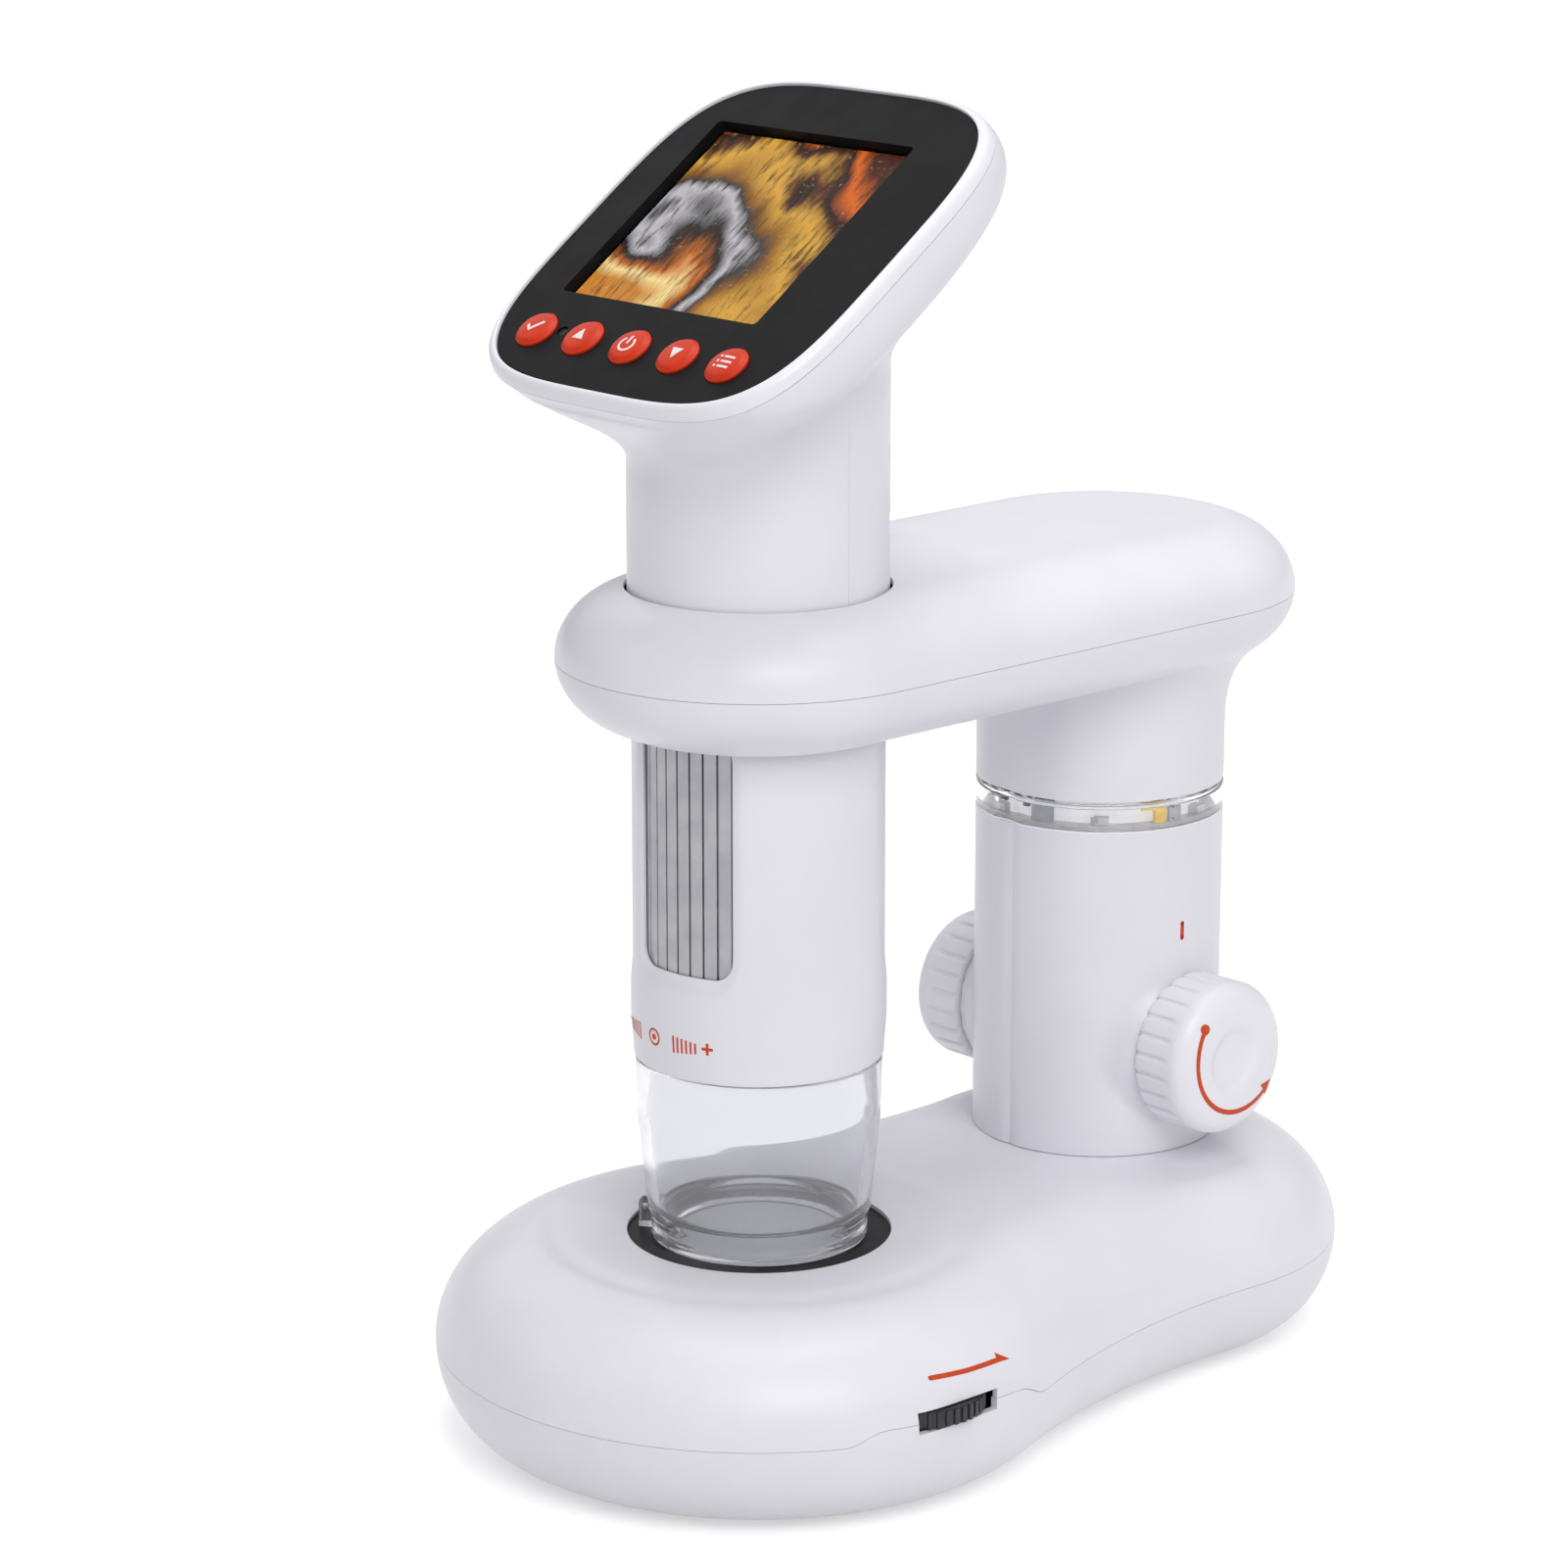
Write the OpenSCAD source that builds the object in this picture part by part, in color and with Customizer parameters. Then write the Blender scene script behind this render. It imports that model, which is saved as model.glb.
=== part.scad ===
// Handheld LCD digital microscope in its own stand.
// Millimetres, +Z up, the screen faces -Y and up, the column stands at +Y.
// The origin lies on the table, at the middle of the whole object's box.

/* [Layout] */
// Distance between the scope's axis and the column's axis
axis_gap = 64.5; // [62:0.5:80]
// Play left between two faces that meet without moving
seat_gap = 0.1; // [0.05:0.01:0.15]
// Radial play of every shaft, sleeve and ring that turns or slides
run_gap = 0.06; // [0.03:0.01:0.09]
// Open line between two casing shells
seam_gap = 0.15; // [0.1:0.01:0.3]

/* [Base] */
// Radius of the base round the stage
base_front_r = 43.5; // [42:0.5:50]
// Radius of the base round the column
base_rear_r = 34.6; // [33:0.2:40]
// Radius of the hollow waist between the two lobes
base_waist_r = 110; // [60:1:160]
// Height of the base, from its underside to its flat top
base_h = 27.4; // [27:0.1:32]
// Height of the parting line above the underside
base_seam_h = 12.9; // [12.5:0.1:14]
// Wall of both base shells
base_wall = 2; // [1.6:0.1:2.4]
// How far the upper edge of the base rounds inwards
base_top_round = 17; // [13:0.5:18]
// How far the lower edge of the base rounds inwards
base_bottom_round = 11; // [8:0.5:11]
// Radius of each rubber foot
foot_r = 4; // [3:0.5:5]
// How far the feet stand out of the underside
foot_proud = 0.8; // [0.5:0.1:1.5]
// Depth of the pocket that holds a foot
foot_pocket = 0.8; // [0.5:0.1:1.2]
// Radius of the screws that close the base
base_screw_r = 1.3; // [1:0.1:1.5]

/* [Stage] */
// Radius of the dark stage plate
stage_r = 17.6; // [16.5:0.1:20]
// Thickness of the stage plate
stage_t = 2.2; // [1.6:0.1:2.6]
// How far the plate's top lies below the base's flat top
stage_drop = 0.5; // [0.2:0.1:0.8]
// Width of the ledge that carries the plate
stage_ledge = 2; // [1.5:0.1:3]
// Radius of the shallow ring groove round the stage
dish_r = 27.5; // [24:0.5:29]
// Radius of the round tool that leaves the ring groove
dish_tool_r = 6; // [4:0.5:10]
// Depth of the ring groove
dish_depth = 0.35; // [0.2:0.05:0.6]
// Thickness of both lamp boards and the scope's lamp board
board_t = 1.2; // [1:0.1:1.6]
// Height of a lamp chip on its board
lamp_h = 1.1; // [0.8:0.1:1.2]

/* [Dimmer] */
// Radius of the thumbwheel
dimmer_r = 9; // [8.5:0.1:10]
// Thickness of the thumbwheel
dimmer_t = 2.4; // [2:0.1:2.6]
// How far the thumbwheel stands out of the flat that surrounds it
dimmer_proud = 1.1; // [0.6:0.1:1.5]
// Offset of the thumbwheel from the stage's axis, along Y
dimmer_y = -4; // [-6:0.5:0]
// Depth of the flat that is cut into the base round the thumbwheel
dimmer_flat = 1.1; // [0.8:0.1:1.4]
// Length of the slot in the base's side
dimmer_slot = 13.6; // [12:0.2:15]
// Free space over and under the thumbwheel in its slot
dimmer_play = 0.25; // [0.2:0.05:0.4]
// Radius of the thumbwheel's spindle
spindle_r = 1.5; // [1.2:0.1:2]
// Number of ribs on the thumbwheel's rim
dimmer_ribs = 44; // [30:2:60]

/* [Power] */
// Radius of one dry cell
cell_r = 5.25; // [5:0.05:5.4]
// Length of one dry cell with its button
cell_len = 44.5; // [43:0.5:46]
// Number of dry cells, side by side
cell_count = 3; // [2:1:3]
// Thickness of the battery door
door_t = 1.2; // [1:0.1:1.5]
// Width of the rim that carries the battery door
door_rim = 1.5; // [1:0.1:2]
// Room for the contact springs at each end of the cells
contact_room = 1.5; // [1.2:0.1:2.5]

/* [Column] */
// Radius of the column
column_r = 17.3; // [16.8:0.1:18.5]
// Wall of the two column shells
column_wall = 2; // [1.8:0.1:2.2]
// Height of the column from its foot line to its top
column_h = 46.6; // [45:0.2:60]
// Rise of the base's top towards the column's foot
column_land = 0.7; // [0.4:0.1:1]
// Radius of the flange that holds the column under the base's top
flange_r = 21; // [20.5:0.5:23]
// Thickness of the column's flange
flange_t = 2; // [1.6:0.1:2.4]
// Depth of the flat pad under the roof that the flange seats on
flange_pad = 0.6; // [0.5:0.1:1]
// Radius of the upright flute at the front of the column
flute_r = 4; // [3:0.5:6]
// Depth of the flute
flute_depth = 0.55; // [0.3:0.05:0.8]
// Height of the clear light ring
ring_h = 4.1; // [3.5:0.1:6]
// Wall of the clear light ring
ring_wall = 1.3; // [1:0.1:1.4]
// Length of the sleeve that guides the post
guide_len = 24; // [18:0.5:25]

/* [Height drive] */
// Travel of the arm, upwards from its lowest place
lift_travel = 22; // [15:0.5:22]
// Radius of the sliding post
post_r = 13.5; // [13.3:0.05:13.6]
// Wall of the sliding post
post_wall = 1.8; // [1.5:0.1:2.2]
// Height of the knob shaft above the column's foot line
shaft_h = 14.8; // [13.5:0.1:16]
// Radius of the knob shaft
shaft_r = 2; // [1.5:0.1:2.5]
// Module of the rack and pinion
gear_module = 0.7; // [0.6:0.05:0.75]
// Number of teeth on the pinion
pinion_teeth = 14; // [13:1:16]
// Face width of the pinion
pinion_w = 6; // [4:0.5:8]
// Radius of a knob
knob_r = 10.8; // [10:0.1:12]
// Length of a knob's ribbed rim
knob_rim = 6.4; // [5:0.2:8]
// Depth of the rounding between a knob's rim and its face
knob_round = 2.7; // [2:0.1:3.5]
// Number of ribs on a knob's rim
knob_ribs = 24; // [16:1:36]
// Height of a knob's ribs
knob_rib_h = 0.4; // [0.2:0.05:0.6]

/* [Arm] */
// Radius of both round ends of the arm
arm_r = 26.5; // [26:0.1:30]
// Height of the arm
arm_h = 19; // [18:0.2:22]
// Height of the arm's parting line above its underside
arm_seam_h = 9.2; // [7:0.1:10]
// Wall of the arm shells
arm_wall = 1.8; // [1.5:0.1:2.2]
// How far the arm's edge rounds inwards
arm_round = 11.5; // [10:0.5:13]
// Height of the socket under the arm, over the light ring
socket_h = 17.6; // [16:0.2:24]
// Half width of the ellipse that flares the socket out to the arm
socket_flare = 9; // [6:0.5:10]
// Half height of the ellipse that flares the socket out to the arm
socket_flare_h = 13; // [8:0.5:14]
// Gap between the light ring and the socket at the lowest place
socket_gap = 0.3; // [0.2:0.05:0.5]
// Play between the scope's casing and the hole in the arm's walls
hole_play = 0.45; // [0.35:0.05:0.6]
// Radial thickness of the ring that grips the scope
grip_t = 2.4; // [2:0.1:2.6]

/* [Scope] */
// Radius of the scope's round casing
scope_r = 17.05; // [16.8:0.05:17.4]
// Height of the clear spacer cup that shows below the casing
cup_h = 25.4; // [24:0.2:32]
// Radius of the cup where it leaves the casing
cup_top_r = 16.4; // [15.9:0.1:16.6]
// Radius of the cup above its foot ring
cup_low_r = 14.9; // [14:0.1:15.5]
// Radius of the cup's foot ring
cup_foot_r = 14.5; // [13.8:0.1:15.2]
// Wall of the cup
cup_wall = 1.4; // [1.2:0.1:1.6]
// Height of the cup's foot ring
cup_foot_h = 1.6; // [1:0.1:2.5]
// Direction of the small lug on the cup's foot, from the front towards the right
cup_lug_az = -52; // [-120:1:0]
// Height of the one-piece lower barrel
barrel_h = 53.5; // [52:0.5:60]
// Wall of the lower barrel
barrel_wall = 1.3; // [1.1:0.05:1.5]
// Middle direction of the focus window, from the front towards the right
window_az = 9.5; // [-20:0.5:20]
// Half of the focus window's opening angle
window_half = 27.7; // [20:0.5:35]
// Height of the focus window's lower edge above the barrel's rim
window_low = 13.5; // [13:0.5:16]
// Height of the focus window
window_h = 32.5; // [26:0.5:33]
// Corner radius of the focus window
window_corner = 2; // [1:0.5:3]
// Number of ribs on the focus wheel
focus_ribs = 72; // [48:2:90]
// Height of the focus wheel's ribs
focus_rib_h = 0.55; // [0.3:0.05:0.7]
// Inner radius of the focus wheel
focus_bore_r = 12.6; // [12:0.1:13]
// Half of the lens carrier's travel
focus_travel = 4; // [2:0.5:5]
// Radius of the lens tube
lens_tube_r = 6; // [5:0.2:7]
// Radius of the objective lens
lens_r = 4.5; // [3.5:0.1:4.8]

/* [Head] */
// Lean of the screen, back from level
screen_tilt = 35.5; // [30:0.5:42]
// Height of the casing halves, from the barrel to where the head grows out of the neck
neck_h = 34.8; // [33:0.2:40]
// Slant of the line where the head grows out of the neck
neck_slant = 23; // [15:1:28]
// Height of the screen's middle above that line
screen_rise = 20.2; // [19:0.2:24]
// How far the screen's middle lies ahead of the scope's axis
screen_ahead = 4.2; // [2:0.2:6]
// Wall of the casing halves
casing_wall = 1.6; // [1.4:0.1:1.8]
// Half width of the black panel
panel_a = 28.2; // [27.8:0.1:30]
// Half height of the black panel
panel_b = 28.6; // [28.2:0.1:30]
// Squareness of the panel's and frame's outline
panel_n = 3.9; // [3.4:0.1:5]
// Thickness of the black panel
panel_t = 1.5; // [1.2:0.1:1.8]
// Width of the white frame round the panel
frame_rim = 2.2; // [1.8:0.1:3]
// Depth of the white frame
frame_t = 3.2; // [3:0.1:4]
// How far the panel lies below the frame's edge
panel_sink = 0.3; // [0.1:0.05:0.4]
// Depth of the head's upright side wall, frame included
head_wall_d = 6; // [6:0.1:8]
// Depth of the head's belly
head_belly_d = 10.8; // [10.8:0.1:14]
// How far the belly draws in from the side wall
head_belly_in = 7; // [5:0.5:7]
// Width of the screen window
window_w = 36.8; // [34:0.2:38]
// Height of the screen window
window_v = 33.5; // [31:0.2:34]
// Offset of the screen window across the panel
window_dx = -2.6; // [-3:0.1:0]
// Offset of the screen window up the panel
window_dy = 3.4; // [2.8:0.1:3.6]
// Thickness of the clear pane
pane_t = 1; // [0.8:0.1:1.2]
// Overlap of the pane behind the window's edge
pane_lap = 1.6; // [1:0.1:1.8]
// Thickness of the display module
lcd_t = 2.4; // [2:0.1:2.6]

/* [Buttons] */
// Radius of a button
button_r = 3; // [2.6:0.1:3.1]
// Distance between two buttons
button_pitch = 9.05; // [8.8:0.05:9.4]
// Distance of the button row below the panel's middle
button_down = 20.7; // [20.6:0.1:21.4]
// Offset of the button row across the panel
button_dx = -0.8; // [-1:0.1:0]
// How far a button stands out of the frame's edge
button_proud = 1; // [0.6:0.1:1.3]
// Travel of a button
button_travel = 0.6; // [0.3:0.05:0.6]
// Radial play of a button in the panel
button_play = 0.1; // [0.06:0.02:0.16]
// Radius of the indicator lens
indicator_r = 0.8; // [0.5:0.1:1]

/* [Hidden] */

// Fine round, for everything exact
$fn = 64;
eps = 0.02;
big = 400;

white = [0.93, 0.93, 0.95];
clear = [0.85, 0.9, 0.95, 0.35];
black = [0.09, 0.09, 0.1];
steel = [0.7, 0.71, 0.73];
orange = [0.86, 0.3, 0.13];
green = [0.1, 0.4, 0.2];

// Places along Y
base_len = base_front_r + axis_gap + base_rear_r;
scope_y = base_front_r - base_len / 2;
column_y = scope_y + axis_gap;

// Heights of the stand
base_z = foot_proud;
base_top = base_z + base_h;
base_seam = base_z + base_seam_h;
stage_top = base_top - stage_drop;
column_z = base_top + column_land;
column_top = column_z + column_h;
ring_top = column_top + ring_h;
socket_z = ring_top + socket_gap;
arm_z = socket_z + socket_h;
arm_top = arm_z + arm_h;
arm_mid = arm_z + arm_h / 2;
arm_seam = arm_z + arm_seam_h;
shaft_z = column_z + shaft_h;

// Heights of the scope
cup_z = stage_top + seat_gap;
barrel_z = cup_z + cup_h;
barrel_top = barrel_z + barrel_h;
neck_z = barrel_top + neck_h;
screen_z = neck_z + screen_rise;
barrel_bore_r = scope_r - barrel_wall;

// ---------- helpers ----------

// Points on an ellipse's arc, from angle t0 to t1 in n steps, leaving out the first when skip is 1
function arc(cx, cy, a, b, t0, t1, n, skip = 0) =
  [for (i = [skip:n]) let (t = t0 + (t1 - t0) * i / n) [cx + a * cos(t), cy + b * sin(t)]];

// A rounded square: superellipse of half axes a and b
function squircle(a, b, n = panel_n, steps = 72) =
  [for (i = [0:steps - 1]) let (t = 360 * i / steps, c = cos(t), s = sin(t))
    [a * sign(c) * pow(abs(c), 2 / n), b * sign(s) * pow(abs(s), 2 / n)]];

// Outline of a ribbed wheel: n flat-topped ribs between radii ri and ro
function ribbed(n, ro, ri, land = 0.55) =
  let (rib = [[-land / 2, ro], [land / 2, ro], [land / 2 + 0.12, ri], [0.88 - land / 2, ri]])
  [for (i = [0:n - 1], k = rib) let (t = 360 * (i + k[0]) / n) [k[1] * cos(t), k[1] * sin(t)]];

module at_scope(z = 0) translate([0, scope_y, z]) children();
module at_column(z = 0) translate([0, column_y, z]) children();

module tube(ro, ri, h) difference() {
  cylinder(r = ro, h = h);
  translate([0, 0, -1]) cylinder(r = ri, h = h + 2);
}

// A bar of radius r along +X, from x0 to x1
module bar_x(r, x0, x1) translate([x0, 0, 0]) rotate([0, 90, 0]) cylinder(r = r, h = x1 - x0);

// The frame of the screen: x to the right, y up the slope, z out of the screen
module on_screen(z = 0) translate([0, scope_y - screen_ahead, screen_z]) rotate([screen_tilt, 0, 0])
  translate([0, 0, z]) children();

// A flat plate of the screen's frame between two depths below the frame's edge
module screen_plate(d0, d1) on_screen(-d1) linear_extrude(d1 - d0) children();

// A pan-head screw that points up, its head below z = 0
module screw_up(r, len) {
  translate([0, 0, -1.2 * r]) cylinder(r = 1.9 * r, h = 1.2 * r);
  cylinder(r = r, h = len);
}

// ---------- base ----------

// Centre of the waist's hollow round, seen from the stage's axis
waist_y = (pow(base_front_r + base_waist_r, 2) - pow(base_rear_r + base_waist_r, 2)
  + pow(axis_gap, 2)) / (2 * axis_gap);
waist_x = sqrt(pow(base_front_r + base_waist_r, 2) - pow(waist_y, 2));
// The waist's round passes this much inside the lobes, so that it crosses them
waist_sink = 0.05;

// Half section of the base's edge round a lobe of radius r, drawn in by d
function base_edge(r, d) = concat(
  [[0, base_z + d]],
  arc(r - base_bottom_round, base_seam, base_bottom_round - d, base_seam_h - d, -90, 0, 7),
  arc(r - base_top_round, base_seam, base_top_round - d, base_h - base_seam_h - d, 0, 90, 9, 1),
  [[0, base_top - d]]);

// Section that the waist's hollow round removes, as seen from its own centre
function waist_edge(d) = let (
  low = base_waist_r + base_bottom_round + waist_sink,
  high = base_waist_r + base_top_round + waist_sink) concat(
  [[0, base_z + d - 1], [low, base_z + d - 1]],
  [for (p = arc(0, base_seam, base_bottom_round - d, base_seam_h - d, -90, 0, 7)) [low - p[0], p[1]]],
  [for (p = arc(0, base_seam, base_top_round - d, base_h - base_seam_h - d, 0, 90, 9, 1))
    [high - p[0], p[1]]],
  [[high, base_top - d + 1], [0, base_top - d + 1]]);

module base_body(d) {
  at_scope() rotate_extrude() polygon(base_edge(base_front_r, d));
  at_column() rotate_extrude() polygon(base_edge(base_rear_r, d));
  at_scope() difference() {
    translate([0, 0, base_z + d]) linear_extrude(base_h - 2 * d)
      polygon([[0, 0], [waist_x, waist_y], [0, axis_gap], [-waist_x, waist_y]]);
    for (s = [-1, 1]) translate([s * waist_x, waist_y, 0]) rotate_extrude() polygon(waist_edge(d));
  }
}

dimmer_flat_x = base_front_r - dimmer_flat;
dimmer_x = dimmer_flat_x + dimmer_proud - dimmer_r;
dimmer_at_y = scope_y + dimmer_y;
slot_h = dimmer_t + 2 * dimmer_play;
dimmer_mid = base_seam + 1.7;
tab_half = dimmer_slot / 2 + 4.5;
tab_slope = 5;

module base_hollow() difference() {
  base_body(0);
  base_body(base_wall);
  // the flat round the thumbwheel
  translate([dimmer_flat_x, dimmer_at_y - 20, base_z]) cube([10, 40, base_h]);
  // the slot that the thumbwheel looks out of, and the room for its sides in the wall
  translate([dimmer_x, dimmer_at_y, dimmer_mid - slot_h / 2]) {
    translate([0, -dimmer_slot / 2, 0]) cube([dimmer_r + 5, dimmer_slot, slot_h]);
    cylinder(r = dimmer_r + 0.4, h = slot_h);
  }
}

// All that lies below the parting line, which steps up to the thumbwheel
module below_seam(gap) {
  translate([-big / 2, -big / 2, -1]) cube([big, big, base_seam + gap + 1]);
  translate([dimmer_x, dimmer_at_y, base_seam]) rotate([90, 0, 90]) linear_extrude(20)
    polygon([[-tab_half - tab_slope, -1], [tab_half + tab_slope, -1], [tab_half + tab_slope, gap],
      [tab_half, dimmer_mid - base_seam + gap], [-tab_half, dimmer_mid - base_seam + gap],
      [-tab_half - tab_slope, gap]]);
}

// Foot and screw places, relative to the two axes
front_feet = [for (s = [-1, 1]) [s * 24, scope_y - 12]];
rear_feet = [for (s = [-1, 1]) [s * 13.5, column_y + 13.5]];
front_screws = [for (s = [-1, 1]) [s * 22, scope_y - 22.5]];
rear_screws = [for (s = [-1, 1]) [s * 23.5, column_y + 9]];
feet = concat(front_feet, rear_feet);
screws = concat(front_screws, rear_screws);
boss_r = base_screw_r + 1.9;
boss_top = base_seam - 0.5;
screw_recess = 2.6;
door_screw_r = 1;
door_ear_r = 3.6;
// Height at which a boss at p ends inside the rounded roof of the lobe of radius r round y0
function roof_boss(p, r, y0) = let (x = norm([p[0], p[1] - y0]) + boss_r - r + base_top_round)
  base_seam + (base_h - base_seam_h) * sqrt(1 - pow(max(x, 0) / base_top_round, 2)) - 0.4;

// The bay for the cells, between the stage and the column's rear
bay_w = cell_count * 2 * cell_r + 2 * seat_gap;
bay_l = cell_len + 2 * contact_room;
bay_y0 = column_y + 5.5 - bay_l;
bay_wall = 1.2;
bay_floor = base_z + door_t + 0.8;
cell_z = bay_floor + cell_r;
bay_top = cell_z + cell_r + 0.4;
door_w = bay_w + 2 * door_rim;
door_l = bay_l + 2 * door_rim;
door_y0 = bay_y0 - door_rim;
door_screw_y = door_y0 - 3;

module base_lower_shell() color(white) difference() {
  union() {
    intersection() {
      base_hollow();
      below_seam(0);
    }
    for (p = screws) translate([p[0], p[1], base_z + 1]) cylinder(r = boss_r, h = boss_top - base_z - 1);
    translate([-bay_w / 2 - bay_wall, bay_y0 - bay_wall, base_z + 1])
      cube([bay_w + 2 * bay_wall, bay_l + 2 * bay_wall, bay_top - base_z - 1]);
    translate([0, door_screw_y, base_z + 1]) cylinder(r = 3, h = 6);
    for (s = [-1, 1], y = [-1, 1])
      translate([board_x + s * board_post_x, scope_y + y * board_post_y, base_z + 1])
        cylinder(r = 2, h = stage_board_z - base_z - 1);
  }
  for (p = feet) translate([p[0], p[1], base_z - 1]) cylinder(r = foot_r + seat_gap, h = foot_pocket + 1);
  for (p = screws) translate([p[0], p[1], 0]) {
    cylinder(r = base_screw_r + seat_gap, h = 20);
    translate([0, 0, -1]) cylinder(r = 1.9 * base_screw_r + seat_gap, h = base_z + screw_recess + 1);
  }
  translate([-bay_w / 2, bay_y0, base_z - 1]) cube([bay_w, bay_l, 20]);
  translate([-door_w / 2, door_y0, base_z - 1]) cube([door_w, door_l, door_t + 1]);
  // the door's screw ear and its pilot hole
  translate([0, door_screw_y, base_z - 1]) cylinder(r = door_ear_r, h = door_t + 1);
  translate([-door_ear_r, door_screw_y, base_z - 1]) cube([2 * door_ear_r, door_rim + 3, door_t + 1]);
  translate([0, door_screw_y, base_z - 1]) cylinder(r = door_screw_r, h = 6.5);
}
module base_upper_shell() color(white) difference() {
  union() {
    difference() {
      base_hollow();
      below_seam(seam_gap);
    }
    // the low rise round the column's foot
    at_column(base_top - 1.3) cylinder(r1 = column_r + 7.2, r2 = column_r + 0.5, h = column_land + 1.3);
    at_column(base_top - base_wall - flange_pad) cylinder(r = flange_r + 0.6, h = flange_pad + 0.3);
    // the seat of the stage plate and the skirt that hangs under it
    at_scope(stage_top - stage_t - 1.6) tube(stage_r + 1.6, stage_r - stage_ledge, stage_t + 1.6);
    at_scope(diffuser_z)
      tube(stage_r - stage_ledge + 1.4, stage_r - stage_ledge, stage_top - stage_t - diffuser_z);
    for (p = front_screws) translate([p[0], p[1], boss_top + seam_gap])
      cylinder(r = boss_r, h = roof_boss(p, base_front_r, scope_y) - boss_top - seam_gap);
    for (p = rear_screws) translate([p[0], p[1], boss_top + seam_gap])
      cylinder(r = boss_r, h = roof_boss(p, base_rear_r, column_y) - boss_top - seam_gap);
  }
  at_scope(stage_top - stage_t) cylinder(r = stage_r + seat_gap, h = stage_t + 2);
  at_scope(base_top + dish_tool_r - dish_depth)
    rotate_extrude() translate([dish_r, 0]) circle(r = dish_tool_r);
  at_column(base_top - base_wall - 2)
    cylinder(r = column_r - column_wall + seat_gap, h = base_wall + column_land + 3);
  for (p = screws) translate([p[0], p[1], base_seam - 2]) cylinder(r = base_screw_r - 0.2, h = 10);
  for (p = flange_screws) at_column(base_top - base_wall - 1) translate(p)
    cylinder(r = flange_screw_r - 0.15, h = 2.4);
}

diffuser_t = 1.5;
diffuser_z = stage_top - stage_t - 1.6 - diffuser_t;
module stage_plate() color(black) at_scope(stage_top - stage_t) cylinder(r = stage_r, h = stage_t);
module stage_diffuser() color([0.95, 0.95, 0.95]) at_scope(diffuser_z + diffuser_t)
  cylinder(r = stage_r - stage_ledge - seat_gap, h = 1.6);

stage_board_z = base_seam - 3;
stage_board_top = stage_board_z + board_t;
board_x0 = -18;
board_x = (board_x0 + dimmer_x + 3.2) / 2;
board_post_x = (dimmer_x + 3.2 - board_x0) / 2 - 3;
board_half_y = 13.5;
board_post_y = board_half_y - 2.5;
pot_r = 4;
pot_z = dimmer_mid - dimmer_t / 2 - 0.2;
module stage_light_board() color(green) difference() {
  union() {
    translate([board_x0, scope_y - board_half_y, stage_board_z])
      cube([dimmer_x + 3.2 - board_x0, 2 * board_half_y, board_t]);
    at_scope(stage_board_top - eps) for (i = [0:5]) rotate([0, 0, 60 * i]) translate([7, 0, 0])
      translate([-1.4, -1.4, 0]) cube([2.8, 2.8, lamp_h]);
  }
  translate([dimmer_x, dimmer_at_y, stage_board_z - 1]) cylinder(r = spindle_r + seat_gap, h = board_t + 2);
}
module at_dimmer(z) translate([dimmer_x, dimmer_at_y, z]) children();
module dimmer_pot() color(steel) {
  at_dimmer(stage_board_top) cylinder(r = pot_r, h = pot_z - stage_board_top);
  at_dimmer(stage_board_z) cylinder(r = spindle_r, h = dimmer_mid + dimmer_t / 2 - stage_board_z + 0.3);
}
module dimmer_wheel() color(black) at_dimmer(dimmer_mid - dimmer_t / 2) difference() {
  linear_extrude(dimmer_t) polygon(ribbed(dimmer_ribs, dimmer_r, dimmer_r - 0.35));
  translate([0, 0, -1]) cylinder(r = spindle_r + run_gap, h = dimmer_t + 2);
  translate([0, 0, dimmer_t - 0.6]) difference() {
    cylinder(r = dimmer_r - 2, h = 1);
    translate([0, 0, -1]) cylinder(r = 3, h = 3);
  }
}

nub_r = 1.9;
nub_h = 1;
module battery_cells() for (i = [0:cell_count - 1]) {
  x = (i - (cell_count - 1) / 2) * 2 * cell_r;
  turn = i % 2 == 0 ? 1 : -1;
  translate([x, bay_y0 + bay_l / 2, cell_z]) rotate([-90 * turn, 0, 0]) translate([0, 0, -cell_len / 2]) {
    color([0.2, 0.35, 0.3]) cylinder(r = cell_r - seat_gap / 2, h = cell_len - nub_h);
    color(steel) cylinder(r = nub_r, h = cell_len);
  }
}
module battery_contacts() color(steel) for (s = [0, 1]) translate([-bay_w / 2 + seat_gap, 0, cell_z - 4])
  translate([0, s == 0 ? bay_y0 : bay_y0 + bay_l - contact_room, 0])
    cube([bay_w - 2 * seat_gap, contact_room, 8]);
module battery_door() color(white) difference() {
  union() {
    translate([-door_w / 2 + seat_gap, door_y0 + seat_gap, base_z])
      cube([door_w - 2 * seat_gap, door_l - 2 * seat_gap, door_t]);
    translate([-bay_w / 2 + 2 * seat_gap, bay_y0 + 2 * seat_gap, base_z])
      cube([bay_w - 4 * seat_gap, bay_l - 4 * seat_gap, door_t + 0.7]);
    translate([0, door_screw_y, base_z]) cylinder(r = door_ear_r - seat_gap, h = door_t);
    translate([-door_ear_r + seat_gap, door_screw_y, base_z])
      cube([2 * door_ear_r - 2 * seat_gap, 4, door_t]);
    // grip ridges
    for (i = [0:4]) translate([-8, door_y0 + door_l - 8 - 1.6 * i, base_z - 0.3]) cube([16, 0.8, 0.4]);
  }
  translate([0, door_screw_y, base_z - 1]) cylinder(r = door_screw_r + seat_gap, h = 4);
}
door_screw_l = 5;
module door_screw() color(steel) translate([0, door_screw_y, base_z]) {
  translate([0, 0, -0.6]) cylinder(r = 1.9 * door_screw_r, h = 0.6);
  cylinder(r = door_screw_r - 0.1, h = door_screw_l);
}
module rubber_feet() color(black) for (p = feet) translate([p[0], p[1], 0])
  cylinder(r = foot_r, h = base_z + foot_pocket);
base_screw_l = 14;
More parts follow.
